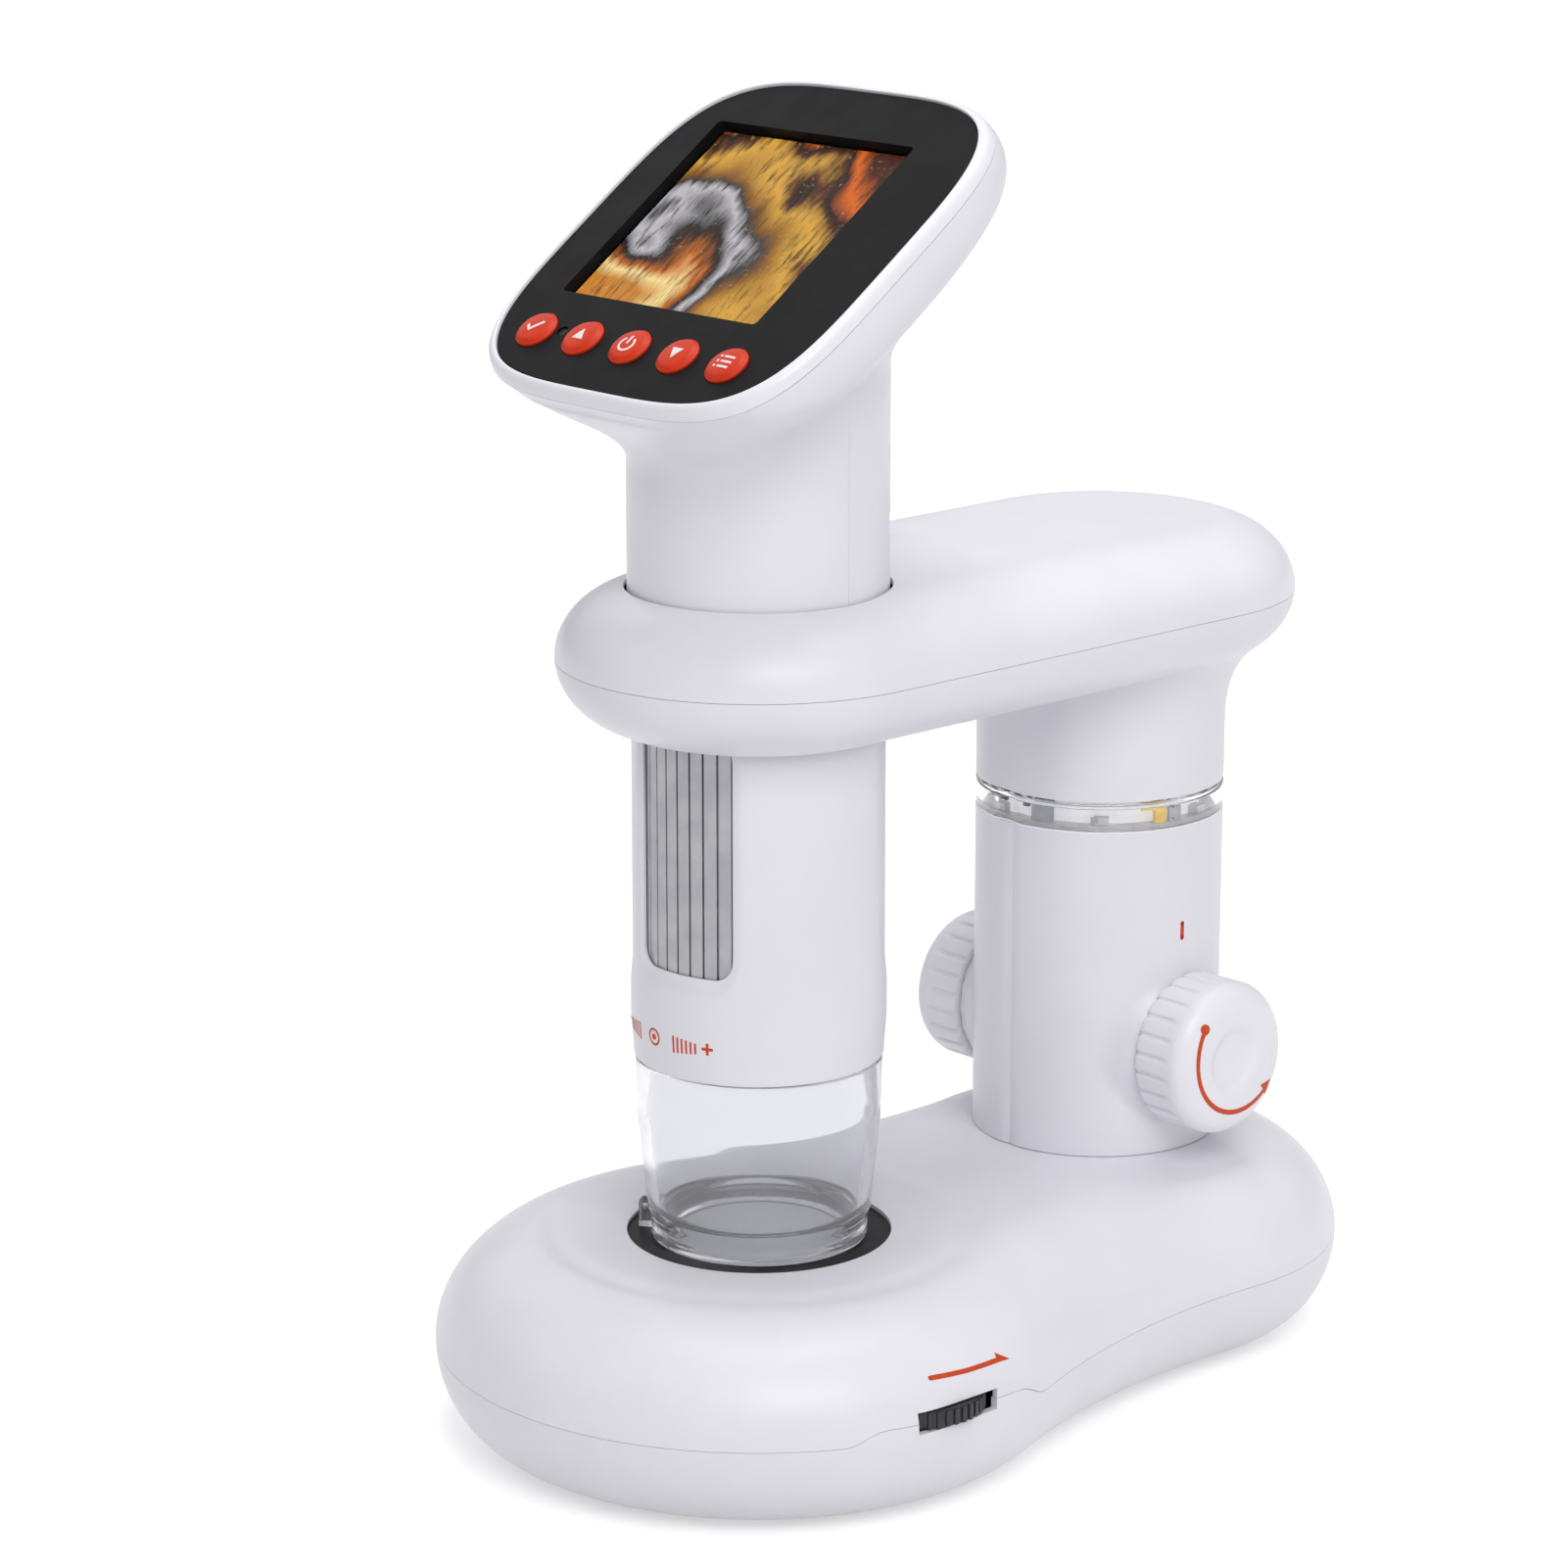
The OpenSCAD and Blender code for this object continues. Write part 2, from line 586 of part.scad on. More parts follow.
module base_screws() color(steel) for (p = screws) translate([p[0], p[1], base_z + screw_recess])
  difference() {
    union() {
      translate([0, 0, -1.2 * base_screw_r]) cylinder(r = 1.9 * base_screw_r, h = 1.2 * base_screw_r);
      cylinder(r = base_screw_r - 0.25, h = base_screw_l);
    }
    translate([0, 0, -1.2 * base_screw_r - 1]) cylinder(r = 0.5, h = 1.6);
  }

// ---------- column ----------

flange_screw_r = 1;
flange_screw_at = (flange_r + column_r - column_wall) / 2 + 0.6;
flange_screws = [for (a = [45, 135, 225, 315]) [flange_screw_at * cos(a), flange_screw_at * sin(a), 0]];
flange_z = base_top - base_wall - flange_pad - flange_t;
boss_cone_r = knob_r + 1.6;
knob_x0 = column_r + 0.3;
bush_r = shaft_r + 2;
bush_x0 = post_r + 0.4;

// The flute along the front of the column, the light ring and the socket
module flute(z0, z1) translate([0, column_y - column_r - flute_r + flute_depth, z0])
  cylinder(r = flute_r, h = z1 - z0);

module column_body() difference() {
  union() {
    at_column(column_z) cylinder(r = column_r, h = column_h);
    at_column(flange_z) cylinder(r = column_r - column_wall, h = column_z - flange_z + 1);
    at_column(flange_z) cylinder(r = flange_r, h = flange_t);
    // fairings that carry the knobs
    at_column(shaft_z) for (s = [0, 180]) rotate([0, 0, s]) rotate([0, 90, 0])
      cylinder(r1 = boss_cone_r + 3, r2 = knob_r - 0.7, h = knob_x0 - 0.3);
  }
  at_column(flange_z - 1) cylinder(r = post_r + 0.3, h = column_h + base_h + 10);
  at_column(column_z + 3) cylinder(r = column_r - column_wall, h = column_h);
  at_column(shaft_z) bar_x(bush_r + seat_gap, -column_r - 1, column_r + 1);
  flute(column_z - 1, column_top + 1);
  for (p = flange_screws) at_column(flange_z - 1) translate(p)
    cylinder(r = flange_screw_r + seat_gap, h = flange_t + 2);
}
module half_space(s) translate([s > 0 ? seam_gap / 2 : -big - seam_gap / 2, -big / 2, -1])
  cube([big, big, big]);
module column_shell_left() color(white) intersection() {
  column_body();
  half_space(-1);
}
module column_shell_right() color(white) intersection() {
  column_body();
  half_space(1);
}
module column_screws() color(steel) for (p = flange_screws) at_column(flange_z) translate(p)
  screw_up(flange_screw_r - 0.15, flange_t + flange_pad + 0.7);
module post_guide() color([0.75, 0.75, 0.78]) at_column(column_top - guide_len)
  tube(column_r - column_wall - seat_gap, post_r + run_gap, guide_len);
module light_ring() color(clear) difference() {
  at_column(column_top) cylinder(r = column_r, h = ring_h);
  at_column(column_top - 1) cylinder(r = column_r - ring_wall, h = ring_h);
  at_column(column_top - 1) cylinder(r = post_r + 0.3, h = ring_h + 2);
  flute(column_top - 1, ring_top + 1);
}
module ring_light_board() color(green) at_column(column_top) {
  tube(column_r - ring_wall - seat_gap, post_r + 0.4, 0.8);
  for (i = [0:5]) rotate([0, 0, 60 * i + 15])
    translate([(column_r - ring_wall + post_r) / 2 - 0.6, -1, 0.8 - eps]) cube([1.4, 2, lamp_h]);
}
module shaft_bushes() color([0.8, 0.65, 0.35]) at_column(shaft_z) for (s = [-1, 1]) difference() {
  bar_x(bush_r, s > 0 ? bush_x0 : -column_r, s > 0 ? column_r : -bush_x0);
  bar_x(shaft_r + run_gap, -column_r - 1, column_r + 1);
}

// ---------- height drive ----------

pitch_r = gear_module * pinion_teeth / 2;
pressure = 20;
tooth_head = 0.8 * gear_module;
tooth_root = 1.1 * gear_module;
backlash = 0.12;
rack_pitch = PI * gear_module;
function inv_deg(a) = tan(a) * 180 / PI - a;
// Half the angle that a tooth takes up at radius r
function tooth_half(r) = let (rb = pitch_r * cos(pressure))
  90 / pinion_teeth - backlash / 4 / pitch_r * 180 / PI + inv_deg(pressure)
  - (r > rb ? inv_deg(acos(rb / r)) : 0);
pinion_radii = [pitch_r - tooth_root, pitch_r * cos(pressure), pitch_r - tooth_root / 5,
  pitch_r + tooth_head / 3, pitch_r + tooth_head * 2 / 3, pitch_r + tooth_head];
function tooth_points(mid) = concat(
  [for (r = pinion_radii) [r * cos(mid - tooth_half(r)), r * sin(mid - tooth_half(r))]],
  [for (k = [len(pinion_radii) - 1:-1:0]) let (r = pinion_radii[k])
    [r * cos(mid + tooth_half(r)), r * sin(mid + tooth_half(r))]]);

knob_x1 = knob_x0 + knob_rim;
knob_x2 = knob_x1 + knob_round;
module knob_shaft() color(steel) at_column(shaft_z) bar_x(shaft_r, -knob_x1, knob_x1);
module pinion() color(steel) at_column(shaft_z) translate([-pinion_w / 2, 0, 0]) rotate([90, 0, 90])
  difference() {
    linear_extrude(pinion_w)
      polygon([for (i = [0:pinion_teeth - 1]) each tooth_points(360 * (i + 0.5) / pinion_teeth)]);
    translate([0, 0, -1]) cylinder(r = shaft_r + 0.01, h = pinion_w + 2);
  }
// A knob with its axis on +Z and its open end at 0
module knob() difference() {
  intersection() {
    linear_extrude(knob_rim + knob_round + 1) polygon(ribbed(knob_ribs, knob_r, knob_r - knob_rib_h, 0.62));
    translate([0, 0, knob_rim]) rotate_extrude() polygon(concat(
      [[0, -knob_rim - 1], [knob_r + 0.1, -knob_rim - 1]],
      arc(knob_r - 3.3, 0, 3.4, knob_round, 0, 90, 7), [[3.4, knob_round - 0.15], [2.4, knob_round - 0.75],
      [0, knob_round - 0.95]]));
  }
  translate([0, 0, -1]) cylinder(r = shaft_r + 0.01, h = knob_rim + 1);
  translate([0, 0, -1]) tube(knob_r - 2, shaft_r + 1.8, knob_rim - 0.6);
}
module knob_right() color(white) at_column(shaft_z) translate([knob_x0, 0, 0]) rotate([90, 0, 90]) knob();
module knob_left() color(white) at_column(shaft_z) translate([-knob_x0, 0, 0]) rotate([90, 0, -90]) knob();

// ---------- sliding post and arm ----------

post_bore_r = post_r - post_wall;
post_z = shaft_z - lift_travel - 3;
post_top = arm_z + 5.2;
post_cap = 3;
shaft_slot = shaft_r + 0.6;
post_screw_r = 1.25;
post_screw_at = 8;
module post_screw_places() at_column() for (a = [90, 210, 330]) rotate([0, 0, a])
  translate([post_screw_at, 0, 0]) children();
module slide_post() color([0.86, 0.86, 0.88]) difference() {
  at_column(post_z) cylinder(r = post_r, h = post_top - post_z);
  at_column(post_z - 1) cylinder(r = post_bore_r, h = post_top - post_cap - post_z + 1);
  at_column(shaft_z) bar_x(shaft_slot, -post_r - 1, post_r + 1);
  at_column(0) translate([-post_r - 1, -shaft_slot, post_z - 1])
    cube([2 * post_r + 2, 2 * shaft_slot, shaft_z - post_z + 1]);
  translate([0, 0, post_top - post_cap - 1]) post_screw_places()
    cylinder(r = post_screw_r - 0.2, h = post_cap + 2);
}
rack_n0 = -ceil((shaft_z - post_z) / rack_pitch) + 1;
rack_n1 = 3;
function rack_tooth(n) = let (z = n * rack_pitch, half = rack_pitch / 4 - backlash / 2, k = tan(pressure)) [
  [tooth_root, z - half - tooth_root * k], [-tooth_head, z - half + tooth_head * k],
  [-tooth_head, z + half - tooth_head * k], [tooth_root, z + half + tooth_root * k]];
rack_back = sqrt(pow(post_bore_r - seat_gap, 2) - pow(pinion_w / 2, 2)) - pitch_r;
module lift_rack() color(steel) at_column(shaft_z) translate([-pinion_w / 2, pitch_r, 0])
  rotate([90, 0, 90]) linear_extrude(pinion_w) polygon(concat(
    [[rack_back, (rack_n0 - 0.5) * rack_pitch], [tooth_root, (rack_n0 - 0.5) * rack_pitch]],
    [for (n = [rack_n0:rack_n1]) each rack_tooth(n)],
    [[tooth_root, (rack_n1 + 0.5) * rack_pitch], [rack_back, (rack_n1 + 0.5) * rack_pitch]]));

// Section of the arm on one side, drawn in by d
function arm_edge(d) = concat([[0, arm_z + d]],
  arc(arm_r - arm_round, arm_mid, arm_round - d, arm_h / 2 - d, -90, 90, 20), [[0, arm_top - d]]);
module arm_body(d) {
  at_scope() rotate([0, 0, 180]) rotate_extrude(angle = 180) polygon(arm_edge(d));
  at_column() rotate_extrude(angle = 180) polygon(arm_edge(d));
  edge = arm_edge(d);
  translate([0, column_y, 0]) rotate([90, 0, 0]) linear_extrude(axis_gap)
    polygon(concat(edge, [for (i = [len(edge) - 2:-1:1]) [-edge[i][0], edge[i][1]]]));
}
module below_arm_seam(gap) translate([-big / 2, -big / 2, 0]) cube([big, big, arm_seam + gap]);
hole_r = scope_r + hole_play;
grip_r = scope_r + run_gap + grip_t;
grip_wall = 1.5;
arm_screw_r = 1.25;
arm_screw_x = 13.5;
arm_screw_y = (scope_y + grip_r + grip_wall + column_y - column_r) / 2 - 1;
arm_boss_r = 3.4;
socket_web = 1.8;
// Height of the arm's underside at distance r from an axis
function arm_under(r) = arm_mid - arm_h / 2 * sqrt(1 - pow(max(r - arm_r + arm_round, 0) / arm_round, 2));
flare_end = 125;
flare_r = column_r + socket_flare * (1 + cos(flare_end));
flare_z = arm_under(flare_r) + 0.05 - socket_flare_h * sin(flare_end);
module arm_lower_shell() color(white) difference() {
  union() {
    intersection() {
      difference() {
        arm_body(0);
        arm_body(arm_wall);
      }
      below_arm_seam(0);
    }
    // socket with its hollow fillet, and the web over the post
    at_column() rotate_extrude() polygon(concat([[0, socket_z], [column_r, socket_z]],
      arc(column_r + socket_flare, flare_z, socket_flare, socket_flare_h, 180, flare_end, 8),
      [[flare_r - 0.5, arm_under(flare_r) + arm_wall / 2], [column_r, arm_under(flare_r) + arm_wall / 2],
       [column_r, post_top + socket_web], [0, post_top + socket_web]]));
    // pocket wall round the grip ring
    at_scope(arm_z + arm_wall / 2)
      tube(grip_r + run_gap + grip_wall, grip_r + run_gap, arm_seam_h - arm_wall / 2);
    for (s = [-1, 1]) translate([s * arm_screw_x, arm_screw_y, arm_z + 0.8])
      cylinder(r = arm_boss_r, h = arm_seam_h - 0.8);
  }
  at_column(socket_z - 1) cylinder(r = post_r + seat_gap / 2, h = post_top - socket_z + 1);
  at_scope(arm_z - 1) cylinder(r = hole_r, h = arm_wall + 1);
  at_scope(arm_z + arm_wall) cylinder(r = grip_r + run_gap, h = arm_h);
  translate([0, 0, post_top - 1]) post_screw_places()
    cylinder(r = post_screw_r + seat_gap, h = socket_web + 2);
  for (s = [-1, 1]) translate([s * arm_screw_x, arm_screw_y, arm_z - 1]) {
    cylinder(r = arm_screw_r + seat_gap, h = arm_seam_h + 2);
    cylinder(r = 1.9 * arm_screw_r + seat_gap, h = 3.6);
  }
  flute(socket_z - 1, flare_z + 1);
}
module arm_upper_shell() color(white) difference() {
  union() {
    difference() {
      arm_body(0);
      arm_body(arm_wall);
      below_arm_seam(seam_gap);
    }
    at_scope(arm_seam + seam_gap) tube(grip_r + run_gap + grip_wall, grip_r + run_gap,
      arm_top - arm_wall / 2 - arm_seam - seam_gap);
    for (s = [-1, 1]) translate([s * arm_screw_x, arm_screw_y, arm_seam + seam_gap])
      cylinder(r = arm_boss_r - 0.4, h = arm_top - arm_wall / 2 - arm_seam - seam_gap);
  }
  at_scope(arm_top - arm_wall - 1) cylinder(r = hole_r, h = arm_wall + 2);
  at_scope(arm_z) cylinder(r = grip_r + run_gap, h = arm_h - arm_wall);
  for (s = [-1, 1]) translate([s * arm_screw_x, arm_screw_y, arm_seam - 1])
    cylinder(r = arm_screw_r - 0.15, h = 7);
}
module post_screws() color(steel) translate([0, 0, post_top + socket_web]) post_screw_places()
  mirror([0, 0, 1]) screw_up(post_screw_r - 0.25, socket_web + post_cap - 0.6);
module arm_screws() color(steel) for (s = [-1, 1]) translate([s * arm_screw_x, arm_screw_y, arm_z + 2.6])
  screw_up(arm_screw_r - 0.25, arm_seam - arm_z - 2.6 + 5.5);
module grip_ring() color([0.3, 0.3, 0.32]) at_scope(arm_z + arm_wall + run_gap)
  tube(grip_r, scope_r + run_gap, arm_h - 2 * arm_wall - 2 * run_gap);

// ---------- scope: barrel ----------

ledge_t = 1.2;
window_z = barrel_z + window_low;
low_ledge_z = window_z - 3.4;
high_ledge_z = window_z + window_h + 1.2;
spigot_h = 3;
spigot_r = scope_r - casing_wall - seat_gap;

// A sector of a ring between two directions, from the front towards the right
module sector(a0, a1, h, r) linear_extrude(h)
  polygon(concat([[0, 0]], [for (i = [0:8]) let (a = a0 + (a1 - a0) * i / 8 - 90) [r * cos(a), r * sin(a)]]));
corner_angle = window_corner / scope_r * 180 / PI;
module window_cutter() difference() {
  union() {
    at_scope(window_z + window_corner)
      sector(window_az - window_half, window_az + window_half, window_h - 2 * window_corner, scope_r + 3);
    at_scope(window_z) sector(window_az - window_half + corner_angle, window_az + window_half - corner_angle,
      window_h, scope_r + 3);
    for (s = [-1, 1], z = [window_corner, window_h - window_corner]) at_scope(window_z + z)
      rotate([0, 0, window_az + s * (window_half - corner_angle) - 90])
        bar_x(window_corner, scope_r - 5, scope_r + 3);
  }
  at_scope(0) cylinder(r = barrel_bore_r - 1, h = big);
}
module barrel_shell() color(white) difference() {
  union() {
    at_scope(barrel_z) tube(scope_r, barrel_bore_r, barrel_h);
    at_scope(low_ledge_z) tube(barrel_bore_r + 0.5, barrel_bore_r - 1.4, ledge_t);
    at_scope(high_ledge_z) tube(barrel_bore_r + 0.5, focus_bore_r, ledge_t);
    at_scope(barrel_top - 2) tube(barrel_bore_r + 0.5, spigot_r - 1.6, 2);
    at_scope(barrel_top - 1) tube(spigot_r, spigot_r - 1.6, 1 + spigot_h);
  }
  window_cutter();
}
cup_sleeve_r = barrel_bore_r - seat_gap;
cup_sleeve_h = 6;
lug_r = cup_foot_r + 1.6;
module spacer_cup() color(clear) {
  at_scope() difference() {
    rotate_extrude() polygon([[0, cup_z], [cup_foot_r, cup_z], [cup_foot_r, cup_z + cup_foot_h],
      [cup_low_r - 0.5, cup_z + cup_foot_h + 0.2], [cup_low_r, cup_z + cup_foot_h + 2],
      [cup_top_r, barrel_z - 8],
      [cup_top_r, barrel_z - seat_gap], [cup_sleeve_r, barrel_z - seat_gap],
      [cup_sleeve_r, barrel_z + cup_sleeve_h], [0, barrel_z + cup_sleeve_h]]);
    translate([0, 0, cup_z - 1]) cylinder(r = cup_foot_r - 3.2, h = 8);
    translate([0, 0, cup_z + 3]) cylinder(r1 = cup_foot_r - 3, r2 = cup_low_r - cup_wall, h = 1.2);
    translate([0, 0, cup_z + 4.2 - eps]) cylinder(r1 = cup_low_r - cup_wall, r2 = cup_sleeve_r - cup_wall,
      h = cup_h - 4.2 + cup_sleeve_h + 1 + eps);
  }
  at_scope(cup_z) rotate([0, 0, cup_lug_az - 90])
    translate([cup_foot_r - 0.6, -1.2, 0]) cube([2.4, 2.4, 3.4]);
}
lamp_board_z = low_ledge_z - board_t;
rod_r = 0.9;
rod_at = 9.5;
module scope_lamp_board() color(green) at_scope(lamp_board_z) difference() {
  union() {
    cylinder(r = barrel_bore_r - seat_gap, h = board_t);
    for (i = [0:7]) rotate([0, 0, 45 * i])
      translate([(barrel_bore_r + lens_tube_r) / 2 - 1, -1.3, -lamp_h]) cube([2.6, 2.6, lamp_h + eps]);
  }
  translate([0, 0, -1]) cylinder(r = lens_tube_r + 1, h = board_t + 2);
}
board_seat_z = high_ledge_z + ledge_t;
module guide_rods() color(steel) for (s = [-1, 1]) at_scope(low_ledge_z) rotate([0, 0, window_az])
  translate([s * rod_at, 0, 0]) cylinder(r = rod_r, h = board_seat_z - low_ledge_z);
module sensor_board() color(green) at_scope(board_seat_z) {
  cylinder(r = barrel_bore_r - seat_gap, h = board_t);
  translate([-4, -4, -1]) cube([8, 8, 1 + eps]);
}
wheel_z = low_ledge_z + ledge_t + 0.2;
wheel_h = high_ledge_z - wheel_z - 0.2;
wheel_r = barrel_bore_r - run_gap;
module focus_wheel() color([0.72, 0.73, 0.75]) at_scope(wheel_z) difference() {
  linear_extrude(wheel_h) polygon(ribbed(focus_ribs, wheel_r, wheel_r - focus_rib_h, 0.5));
  translate([0, 0, -1]) cylinder(r = focus_bore_r, h = wheel_h + 2);
}
carrier_z = (low_ledge_z + high_ledge_z) / 2 - 1;
carrier_t = 4;
tube_down = 11;
tube_up = 7;
module lens_carrier() color(black) at_scope(carrier_z) difference() {
  union() {
    cylinder(r = focus_bore_r - run_gap, h = carrier_t);
    translate([0, 0, -tube_down]) cylinder(r = lens_tube_r, h = tube_down + carrier_t + tube_up);
  }
  translate([0, 0, -tube_down - 1]) cylinder(r = lens_r - 0.8, h = 40);
  translate([0, 0, -tube_down - 1]) cylinder(r = lens_r + 0.02, h = 4);
  for (s = [-1, 1]) rotate([0, 0, window_az]) translate([s * rod_at, 0, -1])
    cylinder(r = rod_r + run_gap, h = carrier_t + 2);
}
module objective_lens() color(clear) at_scope(carrier_z - tube_down + 0.4) cylinder(r = lens_r, h = 2.6);

// ---------- scope: head ----------

frame_a = panel_a + frame_rim;
frame_b = panel_b + frame_rim;

// The slice of the neck, d inside its skin, where the head grows out of it
module neck_slice(d) intersection() {
  at_scope(neck_z - 20) cylinder(r = scope_r - d, h = 40, $fn = 40);
  at_scope(neck_z) rotate([neck_slant, 0, 0]) translate([-40, -40, -0.2]) cube([80, 80, 0.2]);
}
module head_mass(d, open) hull() {
  screen_plate(frame_t - open, head_wall_d) polygon(squircle(frame_a - d, frame_b - d, panel_n, 56));
  screen_plate(head_belly_d - d - 0.2, head_belly_d - d)
    polygon(squircle(frame_a - head_belly_in - d, frame_b - head_belly_in - d, panel_n - 0.8, 56));
  neck_slice(d);
}
module neck_mass(d) intersection() {
  at_scope(barrel_top - (d > 0 ? 1 : 0)) cylinder(r = scope_r - d, h = neck_h + 30);
  at_scope(neck_z) rotate([neck_slant, 0, 0]) translate([-40, -40, -90]) cube([80, 80, 90]);
}
casing_screw_x = 12.2;
casing_screw_z = [arm_top + 8, neck_z - 7];
casing_boss_r = 2.3;
module casing_bosses() for (s = [-1, 1], z = casing_screw_z) translate([s * casing_screw_x, scope_y, z])
  rotate([90, 0, 0]) translate([0, 0, -9]) cylinder(r = casing_boss_r, h = 17);
module casing_body() difference() {
  union() {
    difference() {
      union() {
        head_mass(0, 0);
        neck_mass(0);
      }
      head_mass(casing_wall, 1);
      neck_mass(casing_wall);
    }
    intersection() {
      casing_bosses();
      neck_mass(0.3);
    }
    // ribs that the battery leans on
    for (s = [-1, 1]) translate([s * 5 - 0.6, scope_y + cell_d / 2 + seat_gap, battery_z])
      cube([1.2, scope_r - casing_wall - cell_d / 2 - 0.2, battery_h]);
  }
  // the charging port's window
  at_port() translate([0, 0, -5]) linear_extrude(10) rounded_slot(port_w + 0.4, port_t + 0.4);
  for (s = [-1, 1], z = casing_screw_z) translate([s * casing_screw_x, scope_y, z]) rotate([90, 0, 0]) {
    translate([0, 0, -20]) cylinder(r = 0.9, h = 26);
    translate([0, 0, -25]) cylinder(r = 1.7, h = 18.5);
  }
}
module rounded_slot(w, t) {
  square([w - t, t], center = true);
  for (s = [-1, 1]) translate([s * (w - t) / 2, 0]) circle(r = t / 2);
}
module casing_half(s) intersection() {
  casing_body();
  translate([-big / 2, scope_y + (s > 0 ? seam_gap / 2 : -big - seam_gap / 2), 0]) cube([big, big, big]);
}
module casing_front() color(white) casing_half(-1);
module casing_rear() color(white) casing_half(1);
module casing_screws() color(steel) for (s = [-1, 1], z = casing_screw_z)
  translate([s * casing_screw_x, scope_y + 6.5, z]) rotate([90, 0, 0]) screw_up(0.8, 11);
cell_d = 9;
battery_w = 2 * cell_d;
battery_z = barrel_top + spigot_h + 0.6;
battery_h = neck_z - 2 - battery_z;
module scope_battery() color([0.55, 0.57, 0.6]) translate([-battery_w / 2, scope_y - cell_d / 2, battery_z])
  cube([battery_w, cell_d, battery_h]);

port_w = 7.6;
port_t = 2.5;
port_l = 5.6;
main_board_d = 5.9;
port_d = main_board_d - port_t / 2;
// The charging port, seen from the upper edge of the head
module at_port() on_screen(-port_d) translate([0, frame_b, 0]) rotate([90, 0, 0]) children();
module usb_socket() color(steel) at_port() translate([0, 0, 0.6]) linear_extrude(port_l) difference() {
  rounded_slot(port_w, port_t);
  rounded_slot(port_w - 0.6, port_t - 0.6);
}

keys_x = [for (i = [-2:2]) i * button_pitch + button_dx];
indicator_at = [keys_x[0] + 0.48 * button_pitch, -button_down + 0.7];
key_flange_r = button_r + 0.5;
post_v = frame_b - 7.2;
posts = [[-10, post_v], [10, post_v], [(keys_x[0] + keys_x[1]) / 2, -post_v],
  [(keys_x[3] + keys_x[4]) / 2, -post_v]];
pane_w = window_w + 2 * pane_lap;
pane_v = window_v + 2 * pane_lap;
module at_window() translate([window_dx, window_dy]) children();
// The frame's outer edge slopes in towards its front
frame_slope_in = 1.6;
frame_slope_d = 2.2;
module screen_frame() color(white) difference() {
  union() {
    hull() {
      screen_plate(0, 0.1) polygon(squircle(frame_a - frame_slope_in, frame_b - frame_slope_in));
      screen_plate(frame_slope_d, frame_t - seam_gap) polygon(squircle(frame_a, frame_b));
    }
    screen_plate(1, main_board_d) for (p = posts) translate(p) circle(r = 1.2);
  }
  screen_plate(-1, panel_sink + panel_t) polygon(squircle(panel_a + seat_gap, panel_b + seat_gap));
  screen_plate(-1, frame_t + 1) at_window()
    square([pane_w + 2 * seat_gap, pane_v + 2 * seat_gap], center = true);
  for (x = keys_x) screen_plate(-1, frame_t + 1) translate([x, -button_down]) circle(r = key_flange_r + 0.3);
  screen_plate(main_board_d - 4, main_board_d + 1) for (p = posts) translate(p) circle(r = 0.6);
}
module screen_panel() color(black) difference() {
  screen_plate(panel_sink, panel_sink + panel_t) polygon(squircle(panel_a, panel_b));
  screen_plate(-1, 4) at_window() square([window_w, window_v], center = true);
  for (x = keys_x) screen_plate(-1, 4) translate([x, -button_down]) circle(r = button_r + button_play);
  screen_plate(-1, 4) translate(indicator_at) circle(r = indicator_r + 0.02);
}
module indicator_lens() color([0.2, 0.2, 0.22]) screen_plate(panel_sink + 0.3, panel_sink + panel_t)
  translate(indicator_at) circle(r = indicator_r);
pane_d = panel_sink + panel_t;
module screen_pane() color(clear) screen_plate(pane_d, pane_d + pane_t) at_window()
  square([pane_w, pane_v], center = true);
lcd_w = pane_w + 2;
lcd_v = pane_v + 1.6;
module lcd_module() color([0.8, 0.5, 0.2]) screen_plate(frame_t, frame_t + lcd_t) at_window()
  square([lcd_w, lcd_v], center = true);
module main_board() color(green) difference() {
  screen_plate(main_board_d, main_board_d + board_t) polygon(squircle(frame_a - 4.4, frame_b - 4.6));
  screen_plate(main_board_d - 1, main_board_d + board_t + 1) for (p = posts) translate(p) circle(r = 0.9);
}
module board_screws() color(steel) on_screen(-main_board_d - board_t) for (p = posts)
  translate([p[0], p[1], 0]) screw_up(0.55, board_t + 3.4);
switch_h = 1.2;
switch_w = 4;
module key_switches() color(steel) for (x = keys_x) screen_plate(main_board_d - switch_h, main_board_d)
  translate([x, -button_down]) square([switch_w, switch_w], center = true);
key_stem_d = main_board_d - switch_h - button_travel - 0.1;
// A domed key with the flange that keeps it behind the panel
module button(i) color(orange) on_screen() translate([keys_x[i], -button_down, 0]) rotate_extrude()
  polygon(concat([[0, -key_stem_d], [1.5, -key_stem_d], [1.5, -pane_d - 0.85], [key_flange_r, -pane_d - 0.85],
    [key_flange_r, -pane_d - 0.1], [button_r, -pane_d - 0.1]],
    arc(button_r - 1.6, button_proud - 0.75, 1.6, 0.75, 0, 90, 5), [[0, button_proud + 0.06]]));
module button_select() button(0);
module button_up() button(1);
module button_power() button(2);
module button_down_key() button(3);
module button_menu() button(4);

base_lower_shell();
base_upper_shell();
stage_plate();
stage_diffuser();
stage_light_board();
dimmer_pot();
dimmer_wheel();
battery_cells();
battery_contacts();
battery_door();
door_screw();
rubber_feet();
base_screws();
column_shell_left();
column_shell_right();
column_screws();
post_guide();
light_ring();
ring_light_board();
shaft_bushes();
knob_shaft();
pinion();
knob_left();
knob_right();
slide_post();
lift_rack();
post_screws();
arm_lower_shell();
arm_upper_shell();
arm_screws();
grip_ring();
barrel_shell();
casing_front();
casing_rear();
casing_screws();
spacer_cup();
scope_lamp_board();
guide_rods();
sensor_board();
scope_battery();
focus_wheel();
lens_carrier();
objective_lens();
screen_frame();
screen_panel();
screen_pane();
lcd_module();
main_board();
board_screws();
key_switches();
usb_socket();
indicator_lens();
button_select();
button_up();
button_power();
button_down_key();
button_menu();
